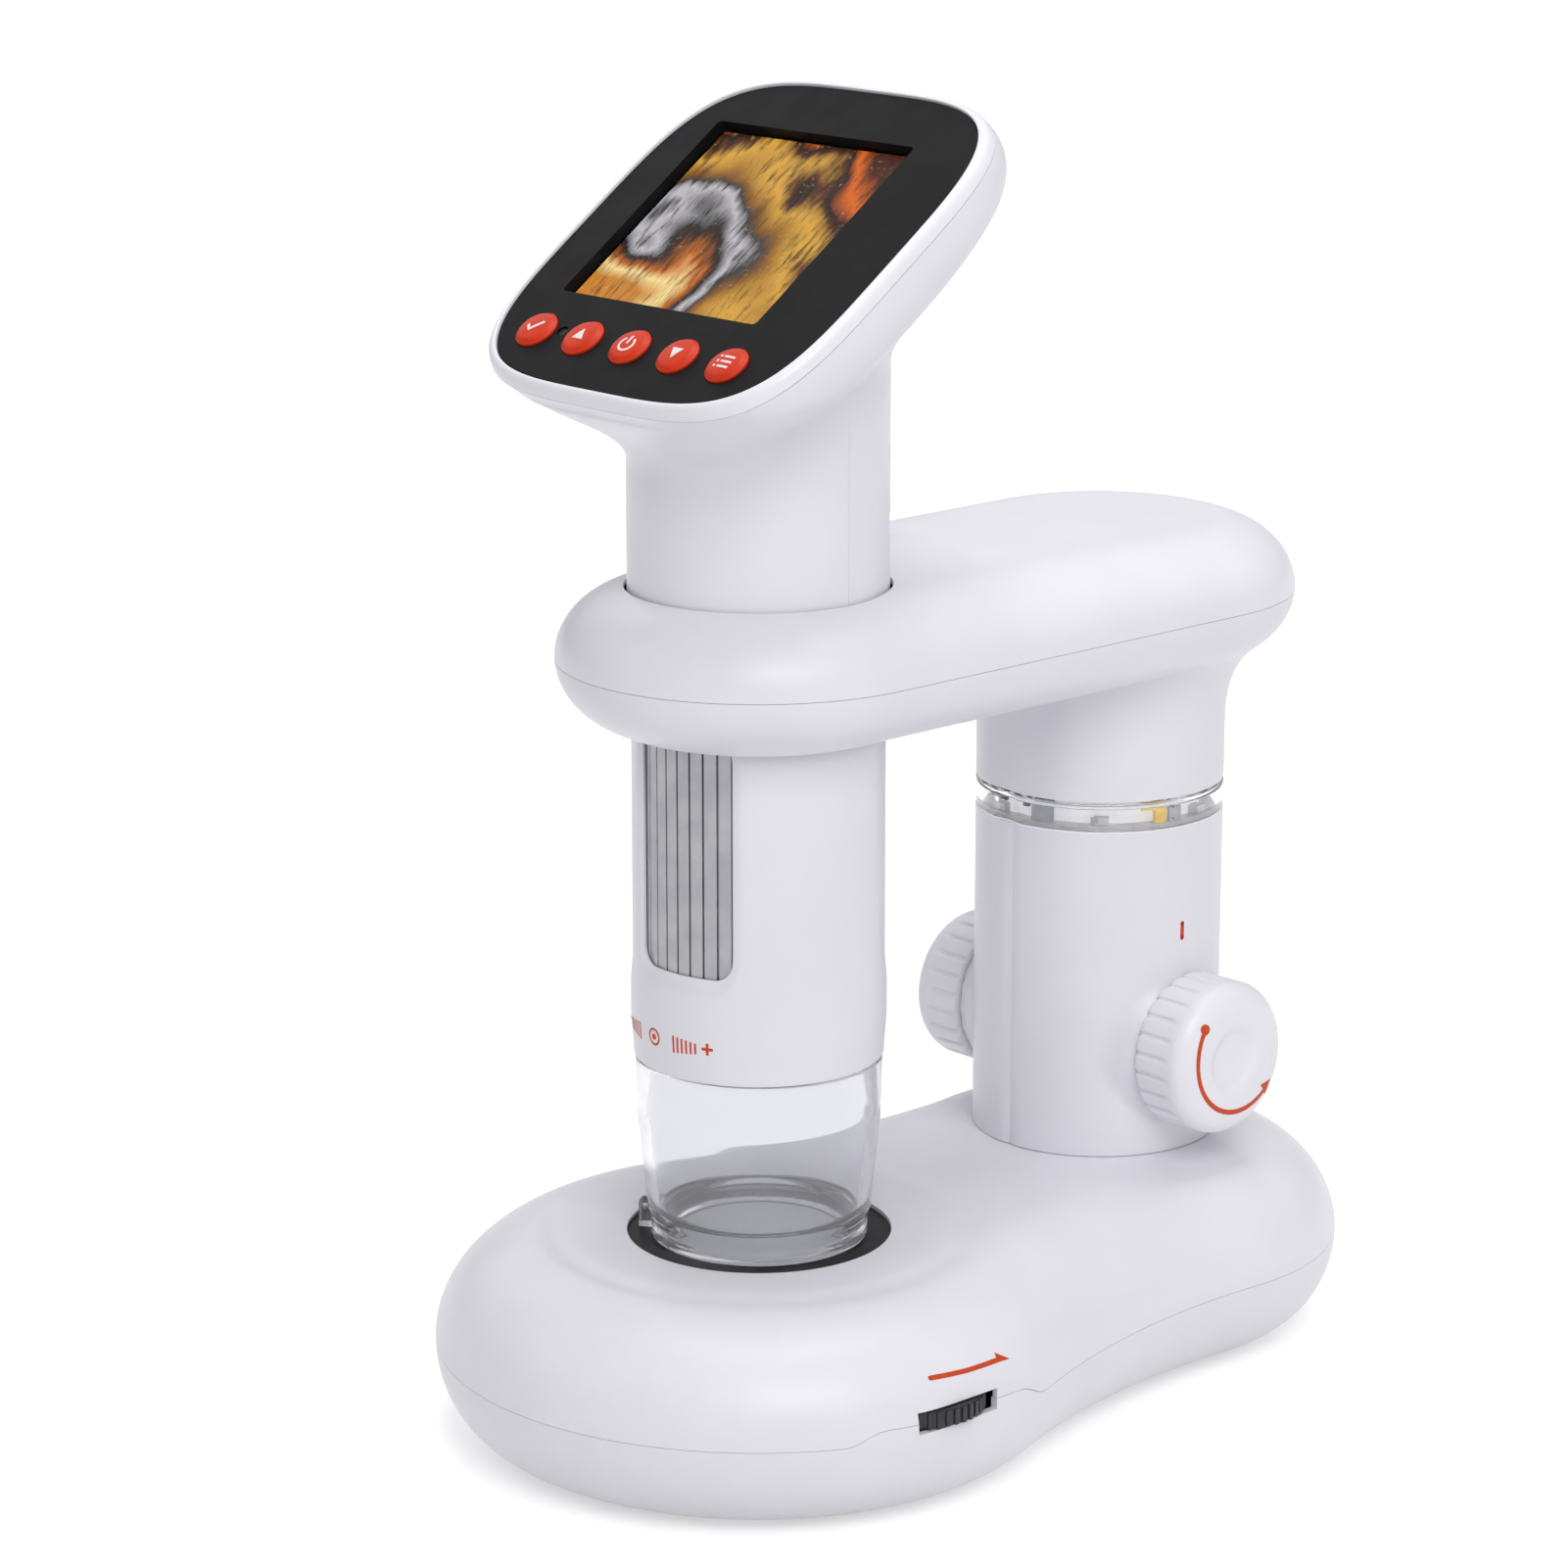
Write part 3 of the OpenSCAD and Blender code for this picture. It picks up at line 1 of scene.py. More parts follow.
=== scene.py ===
"""Handheld LCD microscope in its lit stand: skins, prints, finishes, floor, lamps and camera.

Lengths are millimetres until a mesh is made. +Z is up, the screen faces -Y and up.
"""

import math

import bmesh
import bpy
import numpy as np
from mathutils import Matrix, Vector
from mathutils.bvhtree import BVHTree


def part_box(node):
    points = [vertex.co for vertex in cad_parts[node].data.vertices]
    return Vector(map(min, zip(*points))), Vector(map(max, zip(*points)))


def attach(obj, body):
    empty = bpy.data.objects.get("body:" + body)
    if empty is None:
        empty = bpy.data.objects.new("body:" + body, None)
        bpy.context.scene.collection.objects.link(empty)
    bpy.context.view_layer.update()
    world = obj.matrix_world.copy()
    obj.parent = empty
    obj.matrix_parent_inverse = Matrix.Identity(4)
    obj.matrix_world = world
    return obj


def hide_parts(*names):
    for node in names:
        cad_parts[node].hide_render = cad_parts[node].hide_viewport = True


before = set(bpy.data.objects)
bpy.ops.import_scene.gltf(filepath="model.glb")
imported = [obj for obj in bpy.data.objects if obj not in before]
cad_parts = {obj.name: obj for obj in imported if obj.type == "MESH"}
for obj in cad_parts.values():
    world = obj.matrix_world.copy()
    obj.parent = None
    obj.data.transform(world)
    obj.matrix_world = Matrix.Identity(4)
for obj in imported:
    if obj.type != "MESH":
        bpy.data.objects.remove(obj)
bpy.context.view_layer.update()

MM = 0.001


def corners(node):
    """Lowest and highest corner of a frame node, in millimetres."""
    low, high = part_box(node)
    return np.array(low) / MM, np.array(high) / MM


# ---------- places taken from the frame ----------

barrel_low, barrel_high = corners("barrel_shell")
guide_low, guide_high = corners("post_guide")
ring_high = corners("light_ring")[1]
stage_high = corners("stage_plate")[1]
knob_low, knob_high = corners("knob_right")
shaft_low, shaft_high = corners("knob_shaft")
SCOPE_Y = (barrel_low[1] + barrel_high[1]) / 2
COLUMN_Y = (guide_low[1] + guide_high[1]) / 2
SCOPE_R = (barrel_high[0] - barrel_low[0]) / 2
SCOPE = np.array([0, SCOPE_Y])
COLUMN = np.array([0, COLUMN_Y])
BARREL_Z = barrel_low[2]
BARREL_LENGTH = 53.5

STAGE_TOP = stage_high[2]
STAGE_R = stage_high[0]
STAGE_DROP = 0.5
DIFFUSER_R = 11.5
BASE_HEIGHT = 27.4
BASE_SEAM_UP = 12.9
BASE_TOP = STAGE_TOP + STAGE_DROP
BASE_Z = BASE_TOP - BASE_HEIGHT
BASE_SEAM = BASE_Z + BASE_SEAM_UP
BASE_FRONT_R = 43.5
BASE_REAR_R = 34.6
BASE_WAIST_R = 110
BASE_TOP_ROUND = 17
BASE_BOTTOM_ROUND = 11
BASE_WALL = 2
SEAM = 0.08
COLUMN_SEAM = 0.02
CASING_SEAM = 0.05

COLUMN_R = ring_high[0]
COLUMN_FOOT_UP = 0.7
COLUMN_Z = BASE_TOP + COLUMN_FOOT_UP
COLUMN_TOP = guide_high[2]
RING_TOP = ring_high[2]
SHAFT_Z = (shaft_low[2] + shaft_high[2]) / 2
KNOB_X = knob_low[0]
KNOB_R = (knob_high[2] - knob_low[2]) / 2
KNOB_END = knob_high[0]

SOCKET_Z = corners("arm_lower_shell")[0][2]
SOCKET_LENGTH = 17.6
ARM_SEAM_UP = 9.2
ARM_Z = SOCKET_Z + SOCKET_LENGTH
ARM_TOP = corners("arm_upper_shell")[1][2]
ARM_MID = (ARM_Z + ARM_TOP) / 2
ARM_HALF = (ARM_TOP - ARM_Z) / 2
ARM_SEAM = ARM_Z + ARM_SEAM_UP
ARM_R = corners("arm_upper_shell")[1][0]
ARM_ROUND = 11.5
ARM_WALL = 1.8
HOLE_GAP = 0.45
HOLE_R = SCOPE_R + HOLE_GAP

CUP_Z = corners("spacer_cup")[0][2]
BARREL_TOP = BARREL_Z + BARREL_LENGTH
NECK_LENGTH = 34.8
NECK_Z = BARREL_TOP + NECK_LENGTH
SCREEN_FORWARD = 4.2
SCREEN_UP = 20.2
SCREEN_AT = np.array([0, SCOPE_Y - SCREEN_FORWARD, NECK_Z + SCREEN_UP])
SCREEN_LEAN = math.radians(35.5)
PANEL_A = 28.34
PANEL_POWER = 3.92
FRAME_A = 30.4
FRAME_B = 30.8
FRAME_SIDE = 1.85
PANEL_SINK = 0.3
PANEL_T = 1.5
WINDOW_W = 36.8
WINDOW_V = 33.5
WINDOW_AT = (sum(corners("screen_pane"))[0] / 2, 3.4)
KEY_R = 3
KEY_PITCH = 9.05
KEY_DOWN = 20.7
KEY_PROUD = 0.5
KEY_GAP = 0.1
KEY_MID = sum(corners("button_power"))[0] / 2
KEYS_X = [KEY_MID + i * KEY_PITCH for i in range(-2, 3)]
DOT_AT = (KEYS_X[0] + 0.48 * KEY_PITCH, 0.7 - KEY_DOWN)
DOT_R = 0.82
PORT_W = 8
PORT_T = 2.9
PORT_D = 4.65

DIMMER_LOW, DIMMER_HIGH = corners("dimmer_wheel")
DIMMER_X = (DIMMER_LOW[0] + DIMMER_HIGH[0]) / 2
DIMMER_Y = (DIMMER_LOW[1] + DIMMER_HIGH[1]) / 2
DIMMER_Z = (DIMMER_LOW[2] + DIMMER_HIGH[2]) / 2
DIMMER_R = (DIMMER_HIGH[0] - DIMMER_LOW[0]) / 2
DIMMER_T = DIMMER_HIGH[2] - DIMMER_LOW[2]
FLAT_X = BASE_FRONT_R - 1.1
SLOT_L = 13.6

DOOR_LOW, DOOR_HIGH = corners("battery_door")
DOOR_SCREW_Y = sum(corners("door_screw"))[1] / 2
DOOR_EAR_R = DOOR_SCREW_Y - DOOR_LOW[1] + 0.1
FOOT_R = 4.1
FOOT_POCKET = 0.8
FEET = [(24, SCOPE_Y - 12), (13.5, COLUMN_Y + 13.5)]
BASE_SCREWS = [(22, SCOPE_Y - 22.5), (23.5, COLUMN_Y + 9)]
BASE_SCREW_HOLE = 2.57
CASING_SCREW_X = 12.2
CASING_SCREW_HOLE = 1.7
CASING_SCREWS_Z = [ARM_TOP + 8, NECK_Z - 7]
CASING_SCREW_Y = SCOPE_Y + 6.5

# ---------- small maths ----------


def smooth_step(low, high, x):
    t = min(max((x - low) / (high - low), 0), 1)
    return t * t * (3 - 2 * t)


def smooth_max(a, b, blend):
    h = min(max(0.5 + (a - b) / (2 * blend), 0), 1)
    return b + (a - b) * h + blend * h * (1 - h)


def smooth_min(a, b, blend):
    return -smooth_max(-a, -b, blend)


def spread(stops, step):
    """Even steps between the stops, each stop kept."""
    out = [stops[0]]
    for a, b in zip(stops, stops[1:]):
        n = max(1, math.ceil(abs(b - a) / step))
        out += [a + (b - a) * (k + 1) / n for k in range(n)]
    return out


def turn(angle):
    """The flat direction at an angle."""
    return np.array([math.cos(angle), math.sin(angle)])


def round_turns(steps):
    """Even angles over a whole turn."""
    return [2 * math.pi * k / steps for k in range(steps)]


def on_screen(x, y, z):
    """A point of the screen's own frame: x across, y up the slope, z out of the screen."""
    c, s = math.cos(SCREEN_LEAN), math.sin(SCREEN_LEAN)
    return SCREEN_AT + np.array([x, y * c - z * s, y * s + z * c])


def squircle(a, b, angle, power=PANEL_POWER):
    c, s = math.cos(angle), math.sin(angle)
    return (
        a * math.copysign(abs(c) ** (2 / power), c),
        b * math.copysign(abs(s) ** (2 / power), s),
    )


# ---------- meshes ----------


def placed(name, data):
    """A new object of the scene, at the origin."""
    holder = bpy.data.objects.new(name, data)
    bpy.context.scene.collection.objects.link(holder)
    return holder


def make(name, points, faces, merge=0.002):
    """An object from points in millimetres, doubles merged and faces turned outwards."""
    mesh = bpy.data.meshes.new(name)
    mesh.from_pydata([tuple(float(c) * MM for c in p) for p in points], [], faces)
    work = bmesh.new()
    work.from_mesh(mesh)
    bmesh.ops.remove_doubles(work, verts=work.verts, dist=merge * MM)
    bmesh.ops.dissolve_degenerate(work, edges=work.edges, dist=merge * MM / 4)
    bmesh.ops.recalc_face_normals(work, faces=work.faces)
    work.to_mesh(mesh)
    work.free()
    return placed(name, mesh)


def grid_faces(columns, rows, wrap_columns=False, wrap_rows=False):
    """Quads over a grid of points listed column by column."""
    out = []
    for i in range(columns if wrap_columns else columns - 1):
        j = (i + 1) % columns
        for k in range(rows if wrap_rows else rows - 1):
            m = (k + 1) % rows
            out.append((i * rows + k, j * rows + k, j * rows + m, i * rows + m))
    return out


def joined(shapes):
    """Several (points, faces) pairs as one pair."""
    points, faces = [], []
    for more_points, more_faces in shapes:
        first = len(points)
        points += more_points
        faces += [tuple(first + v for v in face) for face in more_faces]
    return points, faces


def baked(piece):
    """The piece with its modifiers worked into its mesh."""
    graph = bpy.context.evaluated_depsgraph_get()
    mesh = bpy.data.meshes.new_from_object(piece.evaluated_get(graph))
    piece.modifiers.clear()
    old = piece.data
    piece.data = mesh
    mesh.name = piece.name
    if old.users == 0:
        bpy.data.meshes.remove(old)
    return piece


def thicken(piece, wall):
    """Gives an open skin a wall that grows inwards."""
    mod = piece.modifiers.new("wall", "SOLIDIFY")
    mod.thickness = wall * MM
    mod.offset = -1
    mod.use_even_offset = True
    mod.thickness_clamp = 1
    return baked(piece)


def cut(piece, *cutters):
    """Takes the cutters out of the piece."""
    for cutter in cutters:
        mod = piece.modifiers.new("cut", "BOOLEAN")
        mod.solver = "EXACT"
        mod.object = cutter
    baked(piece)
    for cutter in cutters:
        bpy.data.objects.remove(cutter)
    return piece


def finish_piece(piece, body, material, replaced=(), sharp=32):
    """Shading, material, body and the frame nodes that the piece stands for."""
    piece.data.shade_smooth()
    piece.data.set_sharp_from_angle(angle=math.radians(sharp))
    if material is not None:
        piece.data.materials.clear()
        piece.data.materials.append(material)
    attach(piece, body)
    if replaced:
        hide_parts(*replaced)
    return piece


def lathe(name, profile, axis=SCOPE, steps=160, shift=None):
    """A closed turned piece from a profile of (radius, height) round a vertical axis.

    shift: gives each point's radius from its radius, height and angle.
    """
    points = []
    for angle in round_turns(steps):
        for r, z in profile:
            if shift and r > 0:
                r = shift(r, z, angle)
            points.append((axis[0] + r * math.cos(angle), axis[1] + r * math.sin(angle), z))
    wrap = profile[0][0] > 0 or profile[-1][0] > 0
    return make(name, points, grid_faces(steps, len(profile), True, wrap))


def rounded(points, radius, steps=5):
    """A closed profile with its corners rounded by arcs of about that radius."""
    out = []
    n = len(points)
    for i in range(n):
        a, p, b = (np.array(points[(i + k) % n], float) for k in (-1, 0, 1))
        da, db = a - p, b - p
        la, lb = np.linalg.norm(da), np.linalg.norm(db)
        reach = min(radius, la * 0.45, lb * 0.45)
        start, end = p + da / la * reach, p + db / lb * reach
        for k in range(steps + 1):
            t = k / steps
            out.append(tuple((1 - t) ** 2 * start + 2 * t * (1 - t) * p + t * t * end))
    return out


def block(name, low, high):
    """A plain box between two corners, for cutting."""
    xs, ys, zs = zip(low, high)
    points = [(x, y, z) for x in xs for y in ys for z in zs]
    faces = [(0, 1, 3, 2), (4, 6, 7, 5), (0, 4, 5, 1), (2, 3, 7, 6), (0, 2, 6, 4), (1, 5, 7, 3)]
    return make(name, points, faces)


def prism(name, outline, low, high, place):
    """A closed prism over an outline, between two depths, put in place by a function."""
    n = len(outline)
    points = [place(x, y, low) for x, y in outline] + [place(x, y, high) for x, y in outline]
    faces = [(i, (i + 1) % n, n + (i + 1) % n, n + i) for i in range(n)]
    faces += [tuple(range(n))[::-1], tuple(range(n, 2 * n))]
    return make(name, points, faces)


def round_box(w, h, r, steps=8):
    """Outline of a rectangle with round corners, round the origin."""
    out = []
    for cx, cy, first in ((1, 1, 0), (-1, 1, 90), (-1, -1, 180), (1, -1, 270)):
        for k in range(steps + 1):
            way = turn(math.radians(first + 90 * k / steps))
            out.append((cx * (w / 2 - r) + r * way[0], cy * (h / 2 - r) + r * way[1]))
    return out


def ring_outline(cx, cy, r, steps=48):
    return [tuple(np.array([cx, cy]) + r * turn(angle)) for angle in round_turns(steps)]


# ---------- materials ----------


def operator(operation, swapped=False):
    """A Python operator that adds the Math node of that operation."""

    def apply(self, other):
        values = (other, self) if swapped else (self, other)
        return self.math(operation, *values)

    return apply


class Value:
    """A shader value that takes part in Python arithmetic; each operator adds its node."""

    def __init__(self, finish, socket):
        self.finish = finish
        self.socket = socket

    def math(self, operation, *values):
        return self.finish.add("ShaderNodeMath", values, operation=operation)

    __add__ = operator("ADD")
    __radd__ = operator("ADD", True)
    __sub__ = operator("SUBTRACT")
    __rsub__ = operator("SUBTRACT", True)
    __mul__ = operator("MULTIPLY")
    __rmul__ = operator("MULTIPLY", True)
    __truediv__ = operator("DIVIDE")
    __rtruediv__ = operator("DIVIDE", True)

    def step(self, low, high):
        """0 below low, 1 above high, smooth between."""
        inputs = {"Value": self, "From Min": low, "From Max": high}
        return self.finish.add("ShaderNodeMapRange", inputs, interpolation_type="SMOOTHSTEP")


class Finish:
    """A material with one Principled shader, and the means to add nodes to it."""

    def __init__(self, name, colour, **sockets):
        self.material = bpy.data.materials.new(name)
        self.material.use_nodes = True
        self.tree = self.material.node_tree
        self.shader = self.tree.nodes["Principled BSDF"]
        self.coordinates = None
        self.set("Base Color", colour)
        for key, value in sockets.items():
            self.set(key.replace("_", " "), value)

    def set(self, socket, value):
        self._feed(self.shader.inputs[socket], value)

    def _feed(self, socket, value):
        if isinstance(value, Value):
            self.tree.links.new(value.socket, socket)
        else:
            socket.default_value = value

    def add(self, kind, inputs=(), output=0, **settings):
        """A node of that kind: settings first, then its inputs by place or by name."""
        node = self.tree.nodes.new(kind)
        for key, value in settings.items():
            if key == "stops":
                self._set_stops(node.color_ramp.elements, value)
            else:
                setattr(node, key, value)
        pairs = inputs.items() if isinstance(inputs, dict) else enumerate(inputs)
        for key, value in pairs:
            self._feed(node.inputs[key], value)
        return Value(self, node.outputs[output])

    def place(self):
        """Object coordinates, in metres."""
        if self.coordinates is None:
            self.coordinates = self.add("ShaderNodeTexCoord", output="Object")
        return self.coordinates

    def noise(self, size, detail=3, place=None, roughness=0.5):
        """Soft noise whose features are about that size in millimetres."""
        inputs = {"Vector": place or self.place(), "Scale": 1 / (size * MM), "Detail": detail}
        inputs["Roughness"] = roughness
        return self.add("ShaderNodeTexNoise", inputs)

    def bump(self, height, strength, depth):
        """A relief of that depth in millimetres."""
        inputs = {"Strength": strength, "Distance": depth * MM, "Height": height}
        self.set("Normal", self.add("ShaderNodeBump", inputs))

    def mix(self, factor, a, b):
        """A colour between a and b."""
        return self.add("ShaderNodeMix", {0: factor, 6: a, 7: b}, 2, data_type="RGBA")

    def ramp(self, value, *stops):
        """A colour ramp over (position, colour) stops."""
        return self.add("ShaderNodeValToRGB", [value], stops=stops)

    def _set_stops(self, points, stops):
        while len(points) < len(stops):
            points.new(0.5)
        for point, (position, colour) in zip(points, stops):
            point.position = position
            point.color = colour

    def distance(self, spot, centre):
        """The way from a centre to a place, and its length in metres."""
        away = self.add("ShaderNodeVectorMath", {0: spot, 1: centre}, operation="SUBTRACT")
        return away, self.add("ShaderNodeVectorMath", {0: away}, 1, operation="LENGTH")

    def cloudy(self, one, other, size):
        """Soft clouds of two colours, of about that size in millimetres."""
        return self.mix(self.noise(size).step(0.3, 0.7), one, other)


def paint(r, g, b):
    """A colour given as it shows on a screen, 0 to 255, with full alpha."""
    linear = [
        c / 255 / 12.92 if c <= 10 else ((c / 255 + 0.055) / 1.055) ** 2.4 for c in (r, g, b)
    ]
    return (*linear, 1)


def darker(tone, by):
    return tuple(max(c - by, 0) for c in tone)


def solid_finish(name, tone, gloss, clouds=None, haze=None, relief=None, **sockets):
    """A finish of one tone, with faint faults as real surfaces have.

    clouds: (light tone, dark tone, size); haze: (size, low, high, span, least) of the
    roughness; relief: (size, detail, strength, depth).
    """
    made = Finish(name, paint(*tone), Roughness=gloss, **sockets)
    if clouds:
        light, dark, size = clouds
        made.set("Base Color", made.cloudy(paint(*dark), paint(*light), size))
    if haze:
        size, low, high, span, least = haze
        made.set("Roughness", made.noise(size).step(low, high) * span + least)
    if relief:
        size, detail, strength, depth = relief
        made.bump(made.noise(size, detail), strength, depth)
    return made.material


def moulded_white(name, tone, gloss):
    clouds = (tone, darker(tone, 3), 14)
    haze = (3.5, 0.2, 0.8, 0.05, gloss - 0.02)
    relief = (0.5, 2, 0.12, 0.015)
    return solid_finish(name, tone, gloss, clouds, haze, relief, Specular_IOR_Level=0.45)


def stage_finish():
    """Satin black with a pale diffusing window in its middle."""
    black = paint(24, 24, 27)
    stage = Finish("stage_satin", black, Roughness=0.3, Specular_IOR_Level=0.12)
    _, reach = stage.distance(stage.place(), (0, SCOPE_Y * MM, STAGE_TOP * MM))
    rim = reach.step((DIFFUSER_R - 0.25) * MM, (DIFFUSER_R + 0.25) * MM)
    stage.set("Base Color", stage.mix(rim, paint(248, 248, 252), black))
    stage.set("Roughness", stage.noise(4).step(0.4, 0.7) * 0.05 + 0.28)
    return stage.material


def clear_plastic(name, tint, gloss, clear_share, bend):
    """Clear moulded plastic; a share under 1 makes it a little milky."""
    clear = Finish(name, paint(*tint), Roughness=gloss, IOR=bend, Transmission_Weight=clear_share)
    clear.bump(clear.noise(9, 2), 0.08, 0.05)
    return clear.material


def bright_metal(name, tone, gloss):
    haze = (1.6, 0.3, 0.8, 0.15, gloss - 0.05)
    return solid_finish(name, tone, gloss, None, haze, (0.15, 2, 0.15, 0.01), Metallic=1.0)


def board(name, tone):
    clouds = (tone, darker(tone, 14), 2.5)
    return solid_finish(name, tone, 0.4, clouds, None, (0.8, 3, 0.2, 0.04), Coat_Weight=0.4)


def plain(name, tone, gloss=0.45):
    """A one-colour plastic of an inner piece."""
    clouds = (tone, darker(tone, 8), 4)
    return solid_finish(name, tone, gloss, clouds, None, (0.4, 2, 0.12, 0.015))


def lit(name, tone, strength):
    """A finish inside the clear ring that glows with painted light, in place of the light that the
    ring lets onto it.
    """
    glow = Finish(name, paint(*tone), Roughness=0.5)
    clouds = glow.cloudy(paint(*tone), paint(*darker(tone, 12)), 1.2)
    glow.set("Base Color", clouds)
    glow.set("Emission Color", clouds)
    glow.set("Emission Strength", strength)
    return glow.material


WHITE = moulded_white("white_casing", (238, 237, 243), 0.36)
WHITE_HEAD = moulded_white("white_frame", (243, 242, 247), 0.3)
BLACK = solid_finish(
    "black_panel", (19, 19, 21), 0.46, haze=(5, 0.3, 0.7, 0.06, 0.44),
    relief=(0.3, 2, 0.1, 0.01), Specular_IOR_Level=0.12,
)
STAGE = stage_finish()
KEY = solid_finish(
    "key_orange", (214, 54, 16), 0.42, clouds=((216, 55, 16), (208, 50, 14), 2),
    relief=(0.25, 2, 0.1, 0.01), Specular_IOR_Level=0.28,
)
INK = solid_finish(
    "print_orange", (208, 76, 34), 0.5, clouds=((210, 78, 36), (202, 68, 28), 0.6),
    Specular_IOR_Level=0.3,
)
INK_WHITE = solid_finish(
    "print_white", (240, 236, 236), 0.5, clouds=((242, 238, 238), (232, 226, 226), 0.5)
)
SILVER = solid_finish(
    "silver_wheel", (168, 168, 172), 0.4, clouds=((174, 174, 178), (162, 162, 167), 4),
    relief=(0.18, 2, 0.2, 0.01), Metallic=0.7,
)
CLEAR = clear_plastic("clear_ring", (252, 252, 253), 0.03, 0.97, 1.36)
CUP = clear_plastic("clear_cup", (246, 246, 249), 0.06, 0.89, 1.22)
GLASS = clear_plastic("screen_glass", (250, 250, 252), 0.02, 1.0, 1.2)
RUBBER = solid_finish(
    "black_rubber", (30, 30, 32), 0.72, haze=(1.2, 0.2, 0.8, 0.2, 0.62),
    relief=(0.2, 3, 0.25, 0.03),
)
WHEEL = solid_finish("wheel_black", (38, 38, 41), 0.42, haze=(1, 0.3, 0.7, 0.12, 0.38))
STEEL = bright_metal("bright_steel", (188, 189, 192), 0.3)
BRASS = bright_metal("bronze_bush", (196, 162, 96), 0.35)
BOARD = board("green_board", (38, 104, 62))
BOARD_WHITE = board("white_board", (226, 226, 226))
GREY = plain("grey_plastic", (196, 196, 202))
DARK = plain("dark_plastic", (44, 44, 47))
CELL = plain("cell_wrap", (52, 84, 74), 0.3)
# Painted light: these inner parts of the ring glow by their emission, in place of the light that
# the clear ring lets onto them.
LAMP = lit("lamp_yellow", (236, 196, 96), 0.25)
CHIP = lit("chip_grey", (176, 177, 182), 0.12)
REFLECTOR = lit("reflector_white", (240, 240, 243), 0.45)

# ---------- base ----------

WAIST_Y = (
    (BASE_FRONT_R + BASE_WAIST_R) ** 2 - (BASE_REAR_R + BASE_WAIST_R) ** 2
    + (COLUMN_Y - SCOPE_Y) ** 2
) / (2 * (COLUMN_Y - SCOPE_Y))
WAIST_X = math.sqrt((BASE_FRONT_R + BASE_WAIST_R) ** 2 - WAIST_Y**2)
FRONT_TURN = math.atan2(WAIST_Y, WAIST_X)
REAR_TURN = math.atan2(WAIST_Y - (COLUMN_Y - SCOPE_Y), WAIST_X)
FINE = 1.1


def base_rays(holes):
    """Points round the base's outline, each with its inward way and its longest reach."""
    rays = []
    turn_step = FINE / BASE_FRONT_R
    for angle in spread([-math.pi - FRONT_TURN, FRONT_TURN], turn_step)[:-1]:
        rays.append((SCOPE + BASE_FRONT_R * turn(angle), -turn(angle), BASE_FRONT_R))
    centre = np.array([WAIST_X, SCOPE_Y + WAIST_Y])
    cuts = []
    for hole, radius in holes:
        edge = hole[1] + (radius if hole[1] < 0 else -radius)
        cuts.append(math.atan2(edge - centre[1], -centre[0]) % (2 * math.pi))
    stops = sorted([math.pi + FRONT_TURN, math.pi + REAR_TURN, *cuts], reverse=True)
    waist = spread(stops, FINE / BASE_WAIST_R)
    for angle in waist[:-1]:
        point, way = centre + BASE_WAIST_R * turn(angle), turn(angle)
        rays.append((point, way, -point[0] / way[0]))
    for angle in spread([REAR_TURN, math.pi - REAR_TURN], FINE / BASE_REAR_R)[:-1]:
        rays.append((COLUMN + BASE_REAR_R * turn(angle), -turn(angle), BASE_REAR_R))
    for angle in waist[::-1][:-1]:
        point, way = centre + BASE_WAIST_R * turn(angle), turn(angle)
        rays.append((point * (-1, 1), way * (-1, 1), -point[0] / way[0]))
    return rays


def ray_length(point, way, cap, holes):
    """How far a ray runs before it meets a hole or its cap."""
    ends = [cap]
    for centre, radius in holes:
        away = point - centre
        along = away @ way
        spare = along * along - away @ away + radius * radius
        if along < 0 and spare > 0:
            ends.append(-along - math.sqrt(spare))
    return min(ends)


def edge_rows(length, start, inset, rise, rows, before=None):
    """(inset, rise) pairs over a rounded edge and then level, from the angle start.

    before: the sizes that hold below the edge's middle, where the start is less than 0.
    """
    quarter = math.pi / 2
    level = (length - inset) / inset
    end = quarter + level if level > 0 else math.acos(1 - length / inset)
    out = []
    for k in range(rows + 1):
        a = start + (end - start) * k / rows
        bend = min(a, quarter)
        deep, high = (inset, rise) if a >= 0 or before is None else before
        inwards = deep * (1 - math.cos(bend)) + max(a - quarter, 0) * inset
        out.append((inwards, high * math.sin(bend)))
    return out


TAB_HALF = SLOT_L / 2 + 4.5
TAB_SLOPE = 5
FLAT_REACH = 20
GROOVE_R = 27.5
GROOVE_DEPTH = 0.38
GROOVE_HALF = 1.7
LAND_R = COLUMN_R + 7.2


def seam_rise(point):
    """How far the base's parting line steps up, beside the thumbwheel."""
    if point[0] < 0:
        return 0
    away = abs(point[1] - DIMMER_Y)
    return (DIMMER_Z - BASE_SEAM) * (1 - smooth_step(TAB_HALF, TAB_HALF + TAB_SLOPE, away))


def pressed_flat(x, y):
    """The base's right side is flattened round the thumbwheel."""
    if x < FLAT_X - 2 or abs(y - DIMMER_Y) > FLAT_REACH:
        return x
    return smooth_min(x, FLAT_X, 0.7)


def base_roof(x, y, z):
    """The base's top with the ring groove round the stage and the rise at the column's foot."""
    stage_r = math.hypot(x, y - SCOPE_Y)
    column_r = math.hypot(x, y - COLUMN_Y)
    z -= GROOVE_DEPTH * math.exp(-(((stage_r - GROOVE_R) / GROOVE_HALF) ** 2))
    rise = BASE_TOP - 1.3 + 2.0 * (LAND_R - column_r) / (LAND_R - COLUMN_R - 0.5)
    if column_r < LAND_R + 1:
        z = smooth_max(z, min(rise, COLUMN_Z), 0.55)
    return min(z, COLUMN_Z - 0.03)


